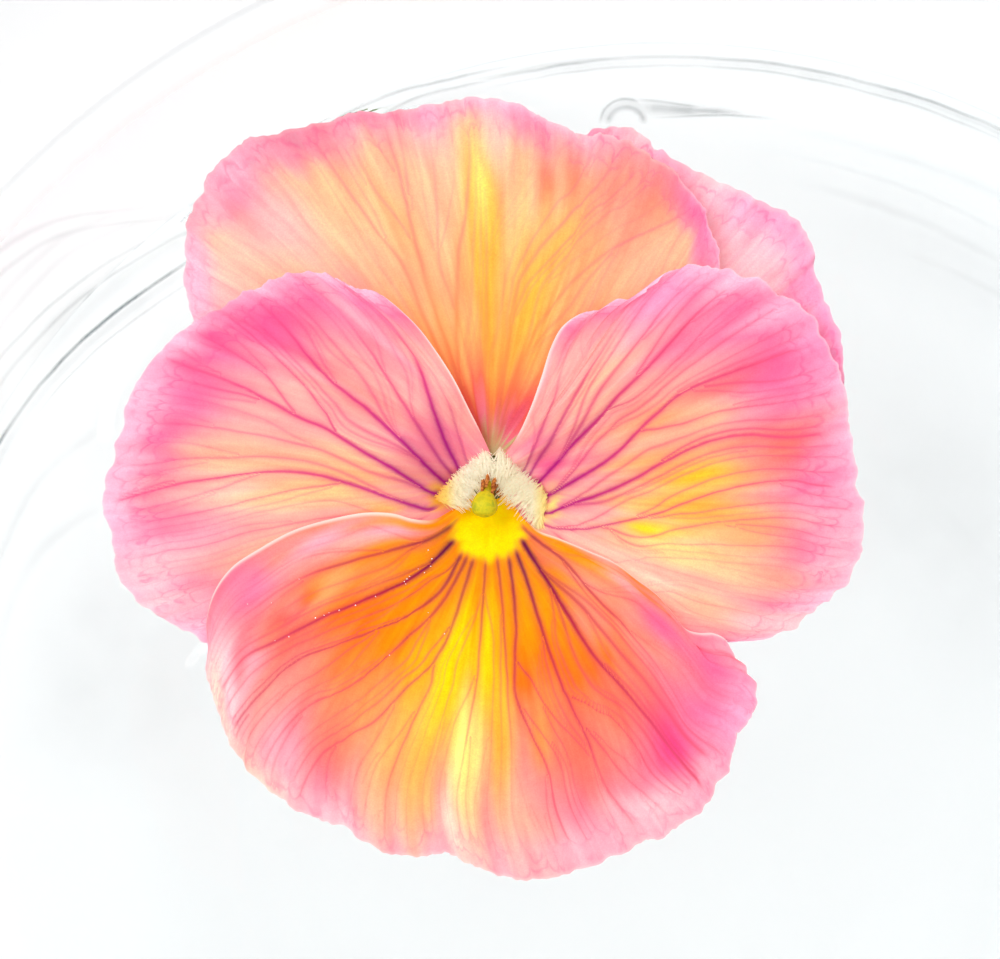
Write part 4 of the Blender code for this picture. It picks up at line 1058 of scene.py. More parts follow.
def vein_tree(fan, main, fillers, spacing, random):
    """The main veins with the branches that leave them wherever a gap has grown wide, in order."""
    levels = fan.levels
    veins = main_veins(fan, main, fillers, random)
    for level in np.arange(0.16, 0.93, 0.02):
        k = int(round(level * LEVELS))
        i = 0
        while i < len(veins) - 1:
            a, b = veins[i], veins[i + 1]
            i += 1
            gap = np.linalg.norm(fan.at(level, min(a["v"][k], 1.0)) - fan.at(level, min(b["v"][k], 1.0)))
            if gap < spacing * random.uniform(0.9, 1.6):
                continue
            grown_a, grown_b = a["start"] < level, b["start"] < level
            if not (grown_a or grown_b):
                continue
            from_a = random.uniform() < (0.7 if a["power"][k] > b["power"][k] else 0.3)
            from_a = grown_a and (from_a or not grown_b)
            parent = a if from_a else b
            start = max(level - 0.02, parent["start"])
            share = smooth((levels - start) / random.uniform(0.18, 0.34)) * random.uniform(0.4, 0.6)
            if not from_a:
                share = 1.0 - share
            line = a["v"] + (b["v"] - a["v"]) * share
            k0 = int(start * LEVELS)
            power = np.maximum(parent["power"] * random.uniform(0.45, 0.8), 0.16)
            power = leaving(levels, start, power, parent["power"])
            width = leaving(levels, start, parent["width"] * random.uniform(0.75, 0.92), parent["width"])
            veins.insert(i, {"v": line, "start": levels[k0], "power": power, "width": width})
            i += 1
    for vein in veins:
        vein["power"] = vein["power"] * (1.0 - smooth((levels - random.uniform(0.92, 0.96)) / 0.03))
    return veins


def vein_values(fan, veins, shape):
    """The turn between the two veins beside each grid point, their gap, and the nearer one's power and width.

    The turn goes from 0 at one vein to a full circle at the next. It is kept as a cosine and a sine, so that
    it runs on smoothly where a branch starts.
    """
    rows, columns = shape
    v = np.linspace(0.0, 1.0, columns)
    across = np.linalg.norm(np.gradient(fan.plan, axis=1), axis=-1) * (columns - 1)
    turn, gap, power, girth = (np.zeros(shape) for _ in range(4))
    for i in range(rows):
        level = i / (rows - 1)
        k = min(int(level * LEVELS), LEVELS - 1)
        part = level * LEVELS - k
        alive = [x for x in veins if x["start"] <= level]
        places = np.array([x["v"][k] * (1 - part) + x["v"][k + 1] * part for x in alive])
        powers = np.array([x["power"][k] * (1 - part) + x["power"][k + 1] * part for x in alive])
        widths = np.array([x["width"][k] for x in alive])
        places = np.maximum.accumulate(places)
        kept = [0]
        for n in range(1, len(places)):
            if places[n] - places[kept[-1]] >= CLOSEST_COLUMNS / (columns - 1):
                kept.append(n)
            elif powers[n] > powers[kept[-1]]:
                kept[-1] = n
        places, powers, widths = places[kept], powers[kept], widths[kept]
        places = np.concatenate([[places[0] - 0.05], places, [places[-1] + 0.05]])
        powers = np.concatenate([[0.0], powers, [0.0]])
        widths = np.concatenate([[0.5], widths, [0.5]])
        after = np.clip(np.searchsorted(places, v, side="right"), 1, len(places) - 1)
        low, high = places[after - 1], places[after]
        width = np.maximum(high - low, 1e-5)
        share = np.clip((v - low) / width, 0.0, 1.0)
        nearest = np.where(share < 0.5, after - 1, after)
        turn[i], gap[i] = 2.0 * math.pi * share, width * across[i]
        power[i], girth[i] = powers[nearest], widths[nearest]
    return turn, gap, power, girth


# Petal colours


def ground(name, u):
    stops = GROUNDS[name]
    out = np.zeros(u.shape + (3,))
    places = [s[0] for s in stops]
    colours = np.array([linear(COLOURS[s[1]]) for s in stops])
    for k in range(3):
        out[..., k] = np.interp(u, places, colours[:, k])
    return out


def washed(name, fan, u, random):
    """The petal's colour at each point of its grid, in linear light."""
    plan = fan.plan
    shape = plan.shape[:-1]
    rows, columns = shape
    share = np.linspace(0.0, 1.0, rows)[:, None]
    v = np.linspace(0.0, 1.0, columns)[None, :]
    feather = grid_noise(shape, (3, 70), random)
    wander = 0.6 * grid_noise(shape, (7, 30), random)
    drift = 0.5 * grid_noise(shape, (9, 24), random)
    colour = ground(name, np.clip(np.broadcast_to(u, shape) + 0.03 * feather + 0.02 * wander, 0.0, 1.0))
    for tint, centre, along, across, strength in WASHES[name]:
        i, j = fan.find(np.array([centre]))[0]
        length = length_of(plan[:, int(round(j * (columns - 1)))])
        width = length_of(plan[int(round(i * (rows - 1)))])
        x = ((share - i) * length + wander * min(1.0, along / 3.0)) / (along * (1.0 + 0.22 * feather))
        y = ((v - j) * width + 0.6 * min(1.0, across / 1.5) * drift) / across
        colour += (linear(COLOURS[tint]) - colour) * (strength * np.exp(-((x**2 + y**2) ** 1.1)))[..., None]
    return colour


def eye(plan):
    """The bright patch at the mouth of the lower petal's spur, with a ragged lower edge."""
    rel = (plan - np.array(EYE_CENTRE)) / np.array(EYE_RADII)
    azimuth = np.arctan2(rel[..., 1], rel[..., 0])
    ragged = 0.05 * np.sin(9.0 * azimuth) + 0.05 * np.sin(14.0 * azimuth + 1.0)
    return 1.0 - smooth((np.linalg.norm(rel, axis=-1) + ragged - 0.82) / 0.42)


# Materials


def material(name):
    made = bpy.data.materials.new(name)
    made.use_nodes = True
    tree = made.node_tree
    return made, tree, tree.nodes["Principled BSDF"]


def feed(socket, value):
    """Links a value to a socket, or sets a constant there; colours come without their alpha."""
    if isinstance(value, bpy.types.NodeSocket):
        socket.id_data.links.new(value, socket)
    elif socket.type == "RGBA":
        socket.default_value = (*value, 1.0)
    else:
        socket.default_value = value


def settle(shader, values):
    for key, value in values.items():
        feed(shader.inputs[key], value)


def node(tree, kind, **settings):
    made = tree.nodes.new(kind)
    for key, value in settings.items():
        if key in made.inputs:
            feed(made.inputs[key], value)
        else:
            setattr(made, key, value)
    return made


def attribute(tree, name, output="Fac"):
    return node(tree, "ShaderNodeAttribute", attribute_name=name).outputs[output]


def object_place(tree):
    return node(tree, "ShaderNodeTexCoord").outputs["Object"]


def parts(tree, vector):
    return node(tree, "ShaderNodeSeparateXYZ", Vector=vector).outputs


def mix(tree, a, b, factor, blend="MIX"):
    made = node(tree, "ShaderNodeMix", data_type="RGBA", blend_type=blend, clamp_result=False)
    for k, value in ((0, factor), (6, a), (7, b)):
        feed(made.inputs[k], value)
    return made.outputs[2]


def maths(tree, operation, a, b=0.0, c=0.0, clamp=False):
    made = node(tree, "ShaderNodeMath", operation=operation, use_clamp=clamp)
    for socket, value in zip(made.inputs, (a, b, c)):
        feed(socket, value)
    return made.outputs[0]


def product(tree, a, b, *more, clamp=False):
    """All the factors multiplied in turn; only the last product is clamped."""
    for c in more:
        a, b = maths(tree, "MULTIPLY", a, b), c
    return maths(tree, "MULTIPLY", a, b, clamp=clamp)


def bell(tree, off):
    """exp(-off^2)."""
    return maths(tree, "EXPONENT", product(tree, off, off, -1.0))


def ramp(tree, source, stops):
    made = node(tree, "ShaderNodeValToRGB", Fac=source)
    elements = made.color_ramp.elements
    while len(elements) < len(stops):
        elements.new(0.5)
    for element, (place, colour) in zip(elements, stops):
        element.position = place
        element.color = (*colour, 1.0)
    return made.outputs[0]


def greys(*stops):
    return [(place, (value,) * 3) for place, value in stops]


def colours_at(*stops):
    return [(place, linear(code)) for place, code in stops]


def noise(tree, vector, scale, detail=2.0, roughness=0.5):
    made = node(tree, "ShaderNodeTexNoise", Vector=vector, Scale=scale, Detail=detail, Roughness=roughness)
    return made.outputs["Fac"]


def stretched(tree, source, scale):
    return node(tree, "ShaderNodeMapping", Vector=source, Scale=scale).outputs[0]


def relief(tree, height, strength, distance):
    """Fine unevenness of a surface, in metres."""
    return node(tree, "ShaderNodeBump", Strength=strength, Distance=distance, Height=height).outputs[0]


def vein_turn(tree):
    """The turn to the nearer vein, from 0 on the vein to pi halfway to the next."""
    fork = parts(tree, attribute(tree, "fork", "Vector"))
    return maths(tree, "ABSOLUTE", maths(tree, "ARCTAN2", fork[1], fork[0]))


def vein_line(tree, width, noise_fac):
    """A soft line on each vein, from the turn between the veins and their gap."""
    off = product(tree, vein_turn(tree), 0.5 / math.pi, attribute(tree, "gap"))
    uneven = maths(tree, "ADD", product(tree, noise_fac, 0.9), 0.55)
    return bell(tree, maths(tree, "DIVIDE", off, product(tree, attribute(tree, "girth"), width, uneven)))


def petal_material(name):
    """Petal skin: washes of colour, soft streaks, veins, a net by the margin and a grain of cells."""
    made, tree, shader = material(name + "_skin")
    flow, place = attribute(tree, "flow", "Vector"), attribute(tree, "place", "Vector")
    reach, plain, vein = attribute(tree, "reach"), attribute(tree, "plain"), attribute(tree, "vein")
    fine = noise(tree, stretched(tree, flow, (1.1, 0.11, 1.0)), 1.0)
    blotch = noise(tree, stretched(tree, flow, (0.42, 0.16, 1.0)), 1.0, 3.0)
    ripple = noise(tree, place, 1.7, 3.0, 0.6)
    cells = noise(tree, place, 8.0, 2.0, 0.6)
    base = attribute(tree, "wash", "Color")
    out = product(tree, product(tree, reach, 3.0, clamp=True), plain)
    # Shades: source, where it is dark, plain and light, the dark and light tints, and strength.
    for source, places, dark, light, strength in (
        (fine, (0.34, 0.50, 0.68), (0.97, 0.90, 0.93), (1.05, 1.13, 1.10), product(tree, out, 0.8)),
        (blotch, (0.36, 0.50, 0.66), (1.0, 0.86, 0.90), (1.02, 1.16, 1.10), product(tree, plain, 0.6)),
        (ripple, (0.34, 0.50, 0.66), (0.97, 0.90, 0.93), (1.03, 1.10, 1.07), 0.45),
        (cells, (0.3, 0.5, 0.75), (0.94, 0.90, 0.92), (1.05, 1.10, 1.09), 0.85),
    ):
        shade = ramp(tree, source, list(zip(places, (dark, WHITE, light))))
        base = mix(tree, base, shade, strength, "MULTIPLY")
    near, middle, far, strong, faint = VEIN_COLOURS[name]
    weak = product(tree, maths(tree, "SUBTRACT", 0.9, vein), 0.45, clamp=True)
    tint = ramp(tree, maths(tree, "ADD", reach, weak), colours_at((0.16, near), (0.44, middle), (0.85, far)))
    hold = ramp(tree, reach, greys((0.25, strong), (0.5, 0.5 * (strong + faint)), (0.85, faint)))
    power = product(tree, vein, hold)
    core_width, halo_width, bleed = INK[name]
    halo = product(tree, vein_line(tree, halo_width, ripple), power, bleed, clamp=True)
    base = mix(tree, base, mix(tree, tint, linear(middle), 0.6), halo)
    core = product(tree, vein_line(tree, core_width, ripple), power, clamp=True)
    base = mix(tree, base, tint, core)
    patch = ramp(tree, noise(tree, flow, 0.6), greys((0.40, 0.1), (0.60, 1.0)))
    side = maths(tree, "MULTIPLY_ADD", vein_turn(tree), -1.0 / math.pi, 1.0)
    arch = maths(tree, "SQRT", maths(tree, "SUBTRACT", 1.0, product(tree, side, side), clamp=True))
    arch = maths(tree, "SUBTRACT", 1.0, arch)
    jitter = product(tree, noise(tree, flow, 0.5), 3.0)
    for inset, depth, width, share in LOOPS[name]:
        course = maths(tree, "ADD", maths(tree, "MULTIPLY_ADD", arch, depth, inset), jitter)
        off = maths(tree, "DIVIDE", maths(tree, "SUBTRACT", attribute(tree, "margin"), course), width)
        base = mix(tree, base, linear(LOOP_COLOURS[name]), product(tree, bell(tree, off), patch, share))
    base = mix(tree, base, linear(RIM_COLOUR), product(tree, attribute(tree, "rim"), 0.8))
    base = mix(tree, base, mix(tree, base, linear(UNDERSIDE), 0.5), attribute(tree, "under"))
    grain = maths(tree, "ADD", product(tree, ripple, 0.8), product(tree, cells, 0.6))
    # Emission of the petal's own colour is a painted glow that lifts its shade.
    settle(shader, {
        "Base Color": base, "Emission Color": base, "Emission Strength": PETAL_PAINTED_GLOW, "Roughness": 0.55,
        "Specular IOR Level": 0.06, "Normal": relief(tree, grain, 0.25, 0.00008),
    })
    thin = node(tree, "ShaderNodeBsdfTranslucent", Color=base)
    blend = node(tree, "ShaderNodeMixShader")
    for socket, value in zip(blend.inputs, (PETAL_THINNESS, shader.outputs[0], thin.outputs[0])):
        feed(socket, value)
    feed(tree.nodes["Material Output"].inputs["Surface"], blend.outputs[0])
    return made


def tissue_material(name, colours, scale, roughness=0.45, stretch=(1.0, 1.0, 1.0)):
    """Green or pale plant tissue: two or three colours run together in streaks."""
    made, tree, shader = material(name)
    streaks = noise(tree, stretched(tree, object_place(tree), stretch), scale, 3.0, 0.6)
    places = np.linspace(0.34, 0.66, len(colours))
    settle(shader, {
        "Base Color": ramp(tree, streaks, colours_at(*zip(places, colours))), "Roughness": roughness,
        "Specular IOR Level": 0.3, "Normal": relief(tree, streaks, 0.3, 0.00006),
    })
    return made


def painted_streak_cover(tree, place, streaks):
    """How much the strongest painted streak of reflection or shade covers at each point, with a little
    unevenness.
    """
    x_y = parts(tree, place)
    uneven = maths(tree, "MULTIPLY_ADD", noise(tree, place, 140.0, 2.0, 0.6), 0.5, -0.25)
    patchy = ramp(tree, noise(tree, place, 90.0, 2.0, 0.6), greys((0.35, 0.45), (0.6, 1.0)))
    polar, total = {}, 0.0
    for cx, cy, base, slope, swing, centre, spread, width, first, last, ease, strength in streaks:
        if (cx, cy) not in polar:
            x, y = (maths(tree, "MULTIPLY_ADD", axis, 1.0 / MM, -c) for axis, c in zip(x_y, (cx, cy)))
            squares = maths(tree, "ADD", product(tree, x, x), product(tree, y, y))
            radius = maths(tree, "ADD", maths(tree, "SQRT", squares), uneven)
            polar[cx, cy] = radius, product(tree, maths(tree, "ARCTAN2", y, x), 180.0 / math.pi)
        radius, azimuth = polar[cx, cy]
        course = maths(tree, "MULTIPLY_ADD", azimuth, slope, base - 90.0 * slope)
        if swing:
            beside = maths(tree, "DIVIDE", maths(tree, "SUBTRACT", azimuth, centre), spread)
            course = maths(tree, "MULTIPLY_ADD", bell(tree, beside), swing, course)
        line = bell(tree, maths(tree, "DIVIDE", maths(tree, "SUBTRACT", radius, course), width))
        opens = maths(tree, "DIVIDE", maths(tree, "SUBTRACT", azimuth, first), ease, clamp=True)
        closes = maths(tree, "DIVIDE", maths(tree, "SUBTRACT", last, azimuth), ease, clamp=True)
        line = product(tree, line, product(tree, opens, closes, strength))
        total = maths(tree, "MAXIMUM", total, line)
    return product(tree, total, patchy)


def clear_material(name, code, ior, roughness=0.0, ripple=0.0, streaks=(), also=()):
    """Glass or water, with a faint unevenness of the surface and the room's reflections and shade painted
    into its colour as streaks.
    """
    made, tree, shader = material(name)
    colour, place = linear(code), object_place(tree)
    waves = noise(tree, place, 60.0)
    if streaks:
        # Painted reflections and shade: the streaks darken the clear surface's colour.
        tint = mix(tree, colour, linear(PAINTED_STREAK_COLOUR), painted_streak_cover(tree, place, streaks))
    else:
        tint = ramp(tree, waves, [(0.3, 0.985 * colour), (0.7, colour)])
    settle(shader, {
        "Base Color": tint, "Transmission Weight": 1.0, "Roughness": roughness, "IOR": ior,
        "Normal": relief(tree, waves, ripple, 0.0004), **dict(also),
    })
    return made


def milky_painted_glow(glow):
    """Settings of clear matter that lets only part of the light through, with a painted glow of white
    emission.
    """
    return {"Transmission Weight": 0.4, "Emission Color": WHITE, "Emission Strength": glow}


def hair_material(name):
    """Glassy cream hairs with a painted glow: a weak emission that lifts the shade among them."""
    made, tree, shader = material(name)
    place = object_place(tree)
    along = maths(tree, "MULTIPLY_ADD", parts(tree, place)[0], 100.0, 0.5 - THROAT[0] / 10.0)
    shades = [(0.36, (0.88, 0.86, 0.78)), (0.5, WHITE), (0.64, (0.96, 0.94, 0.88))]
    tint, shade = ramp(tree, along, colours_at(*HAIR_TINTS)), ramp(tree, noise(tree, place, 5200.0), shades)
    # The emission is a painted glow that lifts the shade among the hairs.
    settle(shader, {
        "Base Color": mix(tree, tint, shade, 1.0, "MULTIPLY"), "Roughness": 0.4,
        "Emission Color": (1.0, 0.88, 0.60), "Emission Strength": 0.11,
    })
    return made


# Pieces


def make_petals():
    """All five petals, each kept level where a later one lies over it."""
    names = list(PETALS)
    plans = {name: petal_plan(name) for name in names}
    surfaces = {}
    for order, name in enumerate(names):
        plan = plans[name][0]
        random = np.random.default_rng(100 + order)
        covers = [plans[over][1] for over in names[order + 1 :]]
        top = petal_height(name, plan, covers, random)
        surfaces[name] = make_petal(name, plan, top, random)
    return surfaces


def border(rows, columns, start=0):
    """Points of a grid's border, once round."""
    i, j = np.arange(rows), np.arange(columns)
    far = (rows - 1) * columns
    return start + np.concatenate([j, i[1:] * columns + columns - 1, far + j[-2::-1], i[-2:0:-1] * columns])


def blade_faces(rows, columns):
    """Faces of a blade whose upper side is a full grid and whose lower side is one of half as many cells."""
    low_rows, low_columns = rows // 2 + 1, columns // 2 + 1
    count = rows * columns
    high, low = border(rows, columns), border(low_rows, low_columns, count)
    a, b, c = high[::2], high[1::2], np.roll(high, -2)[::2]
    d, e = low, np.roll(low, -1)
    quads = np.vstack([grid_faces(rows, columns, flip=True), grid_faces(low_rows, low_columns, start=count)])
    edge = np.vstack([np.stack(t, axis=-1) for t in ((a, d, b), (b, d, e), (b, e, c))])
    return quads, edge


def make_petal(name, plan, top, random):
    shape = rows, columns = top.shape
    u = (np.linspace(0.0, 1.0, rows) ** ROW_CROWDING)[:, None]
    v = np.linspace(0.0, 1.0, columns)[None, :]
    fan = Fan(plan)
    fillers = np.linspace(0.03, 0.97, FILLERS[name])
    taken = [fan.find(np.array([points[0]]))[0, 1] for _, _, points in VEINS[name]]
    fillers = [s for s in fillers if all(abs(s - t) > 0.04 for t in taken)]
    veins = vein_tree(fan, VEINS[name], fillers, SPACING[name], random)
    turn, gap, power, girth = vein_values(fan, veins, shape)
    girth = girth * (1.25 - 0.55 * smooth(u / 0.8))
    colour = washed(name, fan, u, random)
    plain = np.ones(shape)
    if name == "petal_lower":
        patch = eye(plan)
        power = power * (1.0 - patch)
        plain = 1.0 - patch
        warm = smooth((np.abs(plan[..., 0] - GROOVE_AT) - 0.9) / 1.6) * smooth((plan[..., 1] + 2.6) / 2.0)
        bright = linear(EYE_YELLOW) * (1.0 - warm[..., None]) + linear(EYE_CORNER) * warm[..., None]
        colour += (bright - colour) * patch[..., None]
    off = np.minimum(turn, 2.0 * math.pi - turn) / (2.0 * math.pi) * gap
    top = top - FURROW_DEPTH * power * np.exp(-((off / FURROW_WIDTH) ** 2))
    thickness = CLAW_THICKNESS + (MARGIN_THICKNESS - CLAW_THICKNESS) * np.broadcast_to(smooth(u), shape)
    thickness = thickness * (1.0 - 0.5 * smooth((u - 0.97) / 0.03))
    base = np.stack([plan[..., 0] + THROAT[0], plan[..., 1] + THROAT[1]], axis=-1)
    upper = np.concatenate([base, WATER_LEVEL + top[..., None]], axis=-1)
    lower = np.concatenate([base, WATER_LEVEL + (top - thickness)[..., None]], axis=-1)[::2, ::2]
    quads, edge = blade_faces(rows, columns)
    mesh = fast_mesh(name, np.vstack([upper.reshape(-1, 3), lower.reshape(-1, 3)]), quads, edge)
    across, along = length_of(plan[-1]), length_of(plan[:, columns // 2])
    flow = np.stack(np.broadcast_arrays(v * across, u * along, 0.0 * u), axis=-1)
    first, margin, last = RIMS[name]
    width = np.linalg.norm(plan[:, :1] - plan[:, -1:], axis=-1)
    insets = [(first, v * width), (last, (1.0 - v) * width), (margin, (1.0 - u) * along * np.ones(shape))]
    rim = np.maximum.reduce([share * (1.0 - smooth((inset - 0.04) / RIM_WIDTH)) for share, inset in insets])
    rim = rim * smooth((u - 0.12) / 0.1)
    values = {
        "wash": np.concatenate([colour, np.ones(shape + (1,))], axis=-1), "flow": flow, "place": upper,
        "fork": np.stack([np.cos(turn), np.sin(turn), 0.0 * turn], axis=-1), "gap": gap, "vein": power,
        "girth": girth, "reach": np.broadcast_to(u, shape), "rim": rim,
        "margin": np.broadcast_to((1.0 - u) * along, shape), "plain": plain,
    }
    for key, value in values.items():
        tail = value.shape[2:]
        below = (0.5 if key == "vein" else 1.0) * value[::2, ::2]
        set_values(mesh, key, np.concatenate([value.reshape(-1, *tail), below.reshape(-1, *tail)]))
    set_values(mesh, "under", np.concatenate([np.zeros(top.size), np.ones(lower.shape[0] * lower.shape[1])]))
    piece(name + "_blade", mesh, petal_material(name), nodes=[name], sharp=70.0)
    return {"plan": plan, "top": top, "under": top - thickness}


def eased(points, samples):
    p = np.asarray(points, float)
    slope = np.gradient(p, axis=0)
    out = []
    for i in range(len(p) - 1):
        for t in np.linspace(0.0, 1.0, samples, endpoint=False):
            value = (2 * t**3 - 3 * t**2 + 1) * p[i] + (3 * t**2 - 2 * t**3) * p[i + 1]
            out.append(value + (t**3 - 2 * t**2 + t) * slope[i] + (t**3 - t**2) * slope[i + 1])
    out.append(p[-1])
    return np.array(out)


def make_spur():
    run = eased(SPUR, 6)
    path = run[:, :3] + THROAT_PLACE
    skin = tissue_material("spur_skin", ["#e9a35a", "#f0bd7d", "#e8909a"], 900.0)
    mesh = tubes_mesh("spur", [(path, run[:, 3], 24)])
    piece("spur", mesh, skin, nodes=["petal_lower"])


def ray_height(trees, x, y, start=-20.0):
    """The lowest underside over a plan point, in heights over the water, or None."""
    best = None
    for tree in trees:
        hit = tree.ray_cast(Vector((x, y, start)), Vector((0.0, 0.0, 1.0)))
        if hit[0] is not None and (best is None or hit[0].z < best):
            best = hit[0].z
    return best


def surface_point(surface, x, y):
    """The height of a petal's upper side at a plan point, from its nearest grid point."""
    d = (surface["plan"][..., 0] - x) ** 2 + (surface["plan"][..., 1] - y) ** 2
    i, j = np.unravel_index(np.argmin(d), d.shape)
    return surface["top"][i, j]


def make_beard(name, surface, roots, half_width, length, count, seed):
    """A combed tuft of pale club-shaped hairs, from root places and the way that the hairs lie there."""
    random = np.random.default_rng(seed)
    roots = even(through(roots, 8), np.linspace(0.0, 1.0, 60))
    centre, lie = roots[:, :2], roots[:, 2:]
    lie = lie / np.linalg.norm(lie, axis=1, keepdims=True)
    tubes = []
    for _ in range(count):
        k = random.integers(0, 60)
        half = half_width * (0.55 + 0.45 * math.sin(math.pi * (0.08 + 0.84 * k / 59.0)))
        back = random.uniform(-1.0, 1.0)
        x, y = centre[k] - lie[k] * half * back + random.normal(0.0, 0.08, 2)
        z = surface_point(surface, x, y)
        lean = lie[k] * (0.95 - 0.15 * back) + random.normal(0.0, 0.2, 2)
        hair = length * random.uniform(0.6, 1.1)
        t = np.linspace(0.0, 1.0, 5)[:, None]
        rise = random.uniform(0.2, 0.7)
        out = np.array([*lean, 0.0]) * t + UP * rise * (t - 0.55 * t**2)
        path = np.array([x, y, max(z, -1.6) + 0.25 * random.uniform() - 0.08]) + out * hair + THROAT_PLACE
        thick = random.uniform(0.018, 0.034)
        tubes.append((path, thick * np.array([1.0, 0.95, 0.9, 1.1, 0.5]), 4))
    return piece(name, tubes_mesh(name, tubes), hair_material(name + "_hair"))


def make_throat(surfaces):
    make_beard("beard_left", surfaces["petal_side_left"], [
        (-4.2, 0.0, 1.0, -0.2), (-3.7, 0.6, 0.8, -0.55), (-2.7, 1.6, 0.65, -0.75), (-1.7, 2.5, 0.65, -0.75),
        (-0.4, 3.7, 0.4, -0.9),
    ], 0.64, 1.5, 1200, 5)
    make_beard("beard_right", surfaces["petal_side_right"], [
        (0.6, 3.9, -0.12, -1.0), (1.4, 2.6, -0.6, -0.8), (2.6, 1.5, -0.75, -0.65), (3.8, 0.5, -0.6, -0.7),
        (4.1, -0.7, -0.35, -0.6), (3.7, -1.7, 0.3, -0.7),
    ], 0.68, 1.6, 1350, 6)


def make_dew(surface):
    """Specks of water that lie along the lower petal's veins."""
    random = np.random.default_rng(8)
    drops = []
    for x, y in DEW:
        size = random.uniform(0.03, 0.06)
        z = surface_point(surface, x, y)
        a = np.linspace(0.0, math.pi, 6)
        path = np.stack([0.0 * a, 0.0 * a, -0.6 * size * np.cos(a)], axis=1)
        place = THROAT_PLACE + np.array([x, y, z + 0.4 * size])
        drops.append((path + place, np.maximum(size * np.sin(a), 0.1 * size), 8))
    # The dew's white emission is a painted highlight.
    skin = clear_material("dew", "#ffffff", WATER_IOR, also=milky_painted_glow(0.3))
    piece("dew", tubes_mesh("dew", drops), skin)


def directions(azimuth):
    """The way outward at this azimuth, and the way round."""
    x, y = math.cos(azimuth), math.sin(azimuth)
    return np.array([x, y, 0.0]), np.array([-y, x, 0.0])


def make_pistil():
    run = eased([
        (0.0, 0.0, -3.3, 0.45), (0.0, 0.0, -2.8, 0.65), (0.0, 0.0, -2.0, 0.45),
        (0.0, -0.1, -1.4, 0.26), (-0.1, -0.5, -0.9, 0.3), (-0.3, -1.0, -0.4, 0.45), (-0.45, -1.6, 0.1, 0.9),
        (-0.5, -2.2, 0.3, 1.06), (-0.5, -2.75, 0.28, 0.78), (-0.5, -3.0, 0.28, 0.2),
    ], 5)
    skin = tissue_material("stigma_skin", ["#c0b808", "#d8c80a", "#a8b01a"], 1400.0, roughness=0.6)
    mesh = tubes_mesh("pistil", [(run[:, :3] + FLOWER_AXIS, np.maximum(run[:, 3], 0.05), 28)])
    piece("pistil_whole", mesh, skin, nodes=["pistil"])


def make_stamens():
    """Five anthers with their brown tips, leaning in round the pistil on a ring of filaments."""
    tubes = []
    for i in range(5):
        a = 2.0 * math.pi * (i + 0.5) / 5
        out, side = directions(a)
        for share in (-0.34, 0.34):
            t = np.linspace(0.0, 1.0, 9)
            radii = 0.36 * np.sin(math.pi * np.clip(t, 0.06, 0.94)) ** 0.5
            path = out * (1.36 - 0.36 * t[:, None]) + side * share + UP * (-3.3 + 1.9 * t[:, None])
            tubes.append((path + FLOWER_AXIS, radii, 10))
        t = np.linspace(0.0, 1.0, 7)[:, None]
        lean = np.array([-0.28, -0.85, 0.0]) * t
        rise = UP * (-1.4 + (1.35 + 0.13 * (i * 2 % 5)) * t)
        path = out * (0.56 - (0.08 + 0.05 * (i * 3 % 5)) * t) + lean + rise
        tubes.append((path + FLOWER_AXIS, 0.21 * (1.0 - 0.45 * t[:, 0]), 8))
    skin = tissue_material("anther_skin", ["#e0a04c", "#c07028", "#7e3010"], 4200.0, roughness=0.7)
    piece("stamens_whole", tubes_mesh("stamens", tubes), skin, nodes=["stamens"])


def make_calyx():
    """Receptacle and five keeled sepals, each with its ear."""
    top = CLAW_HEIGHT - 0.6
    bottom = top - RECEPTACLE_HEIGHT
    profile = [(0.0, top), (RECEPTACLE_RADIUS - 0.3, top)]
    for a in np.linspace(90.0, -60.0, 9):
        r = math.radians(a)
        profile.append((RECEPTACLE_RADIUS - 0.5 + 0.6 * math.cos(r), top - 0.75 + 0.75 * math.sin(r)))
    profile += [(1.9, bottom + 0.1), (1.0, bottom), (0.0, bottom)]
    points, quads, caps = lathe(profile, 40)
    points = points + FLOWER_AXIS
    skin = tissue_material("calyx_skin", ["#5d8f34", "#86b356", "#a9c470"], 500.0)
    piece("receptacle", mixed_mesh("receptacle", points, quads, caps), skin, nodes=["calyx"])
    for k, azimuth in enumerate(SEPAL_AZIMUTHS):
        make_sepal("sepal_%d" % (k + 1), azimuth, skin)


def make_sepal(name, azimuth, skin):
    rows, columns = 44, 15
    out, side = directions(math.radians(azimuth))
    run = even(eased(SEPAL_RUN, 8), np.linspace(0.0, 1.0, rows))
    across = np.linspace(-1.0, 1.0, columns)
    middle = out * run[:, :1] + UP * run[:, 1:2]
    shape = middle[:, None] + side * (across[None, :, None] * run[:, 2][:, None, None] / 2.0)
    wave = 0.05 * np.sin(np.arange(rows) * 0.9)[:, None] * across**2
    shape[..., 2] += -0.35 * (1.0 - np.abs(across)) + wave
    thick = UP * 0.16 * (1.15 - across**2)[:, None]
    up, down = shape + thick, shape - thick
    count = rows * columns
    faces = [grid_faces(rows, columns, flip=True), grid_faces(rows, columns, start=count)]
    edge = border(rows, columns)
    after = np.roll(edge, -1)
    faces.append(np.stack([edge, edge + count, after + count, after], axis=-1))
    points = np.vstack([up.reshape(-1, 3), down.reshape(-1, 3)]) + FLOWER_AXIS
    piece(name, fast_mesh(name, points, np.vstack(faces)[:, ::-1]), skin, nodes=["calyx"])


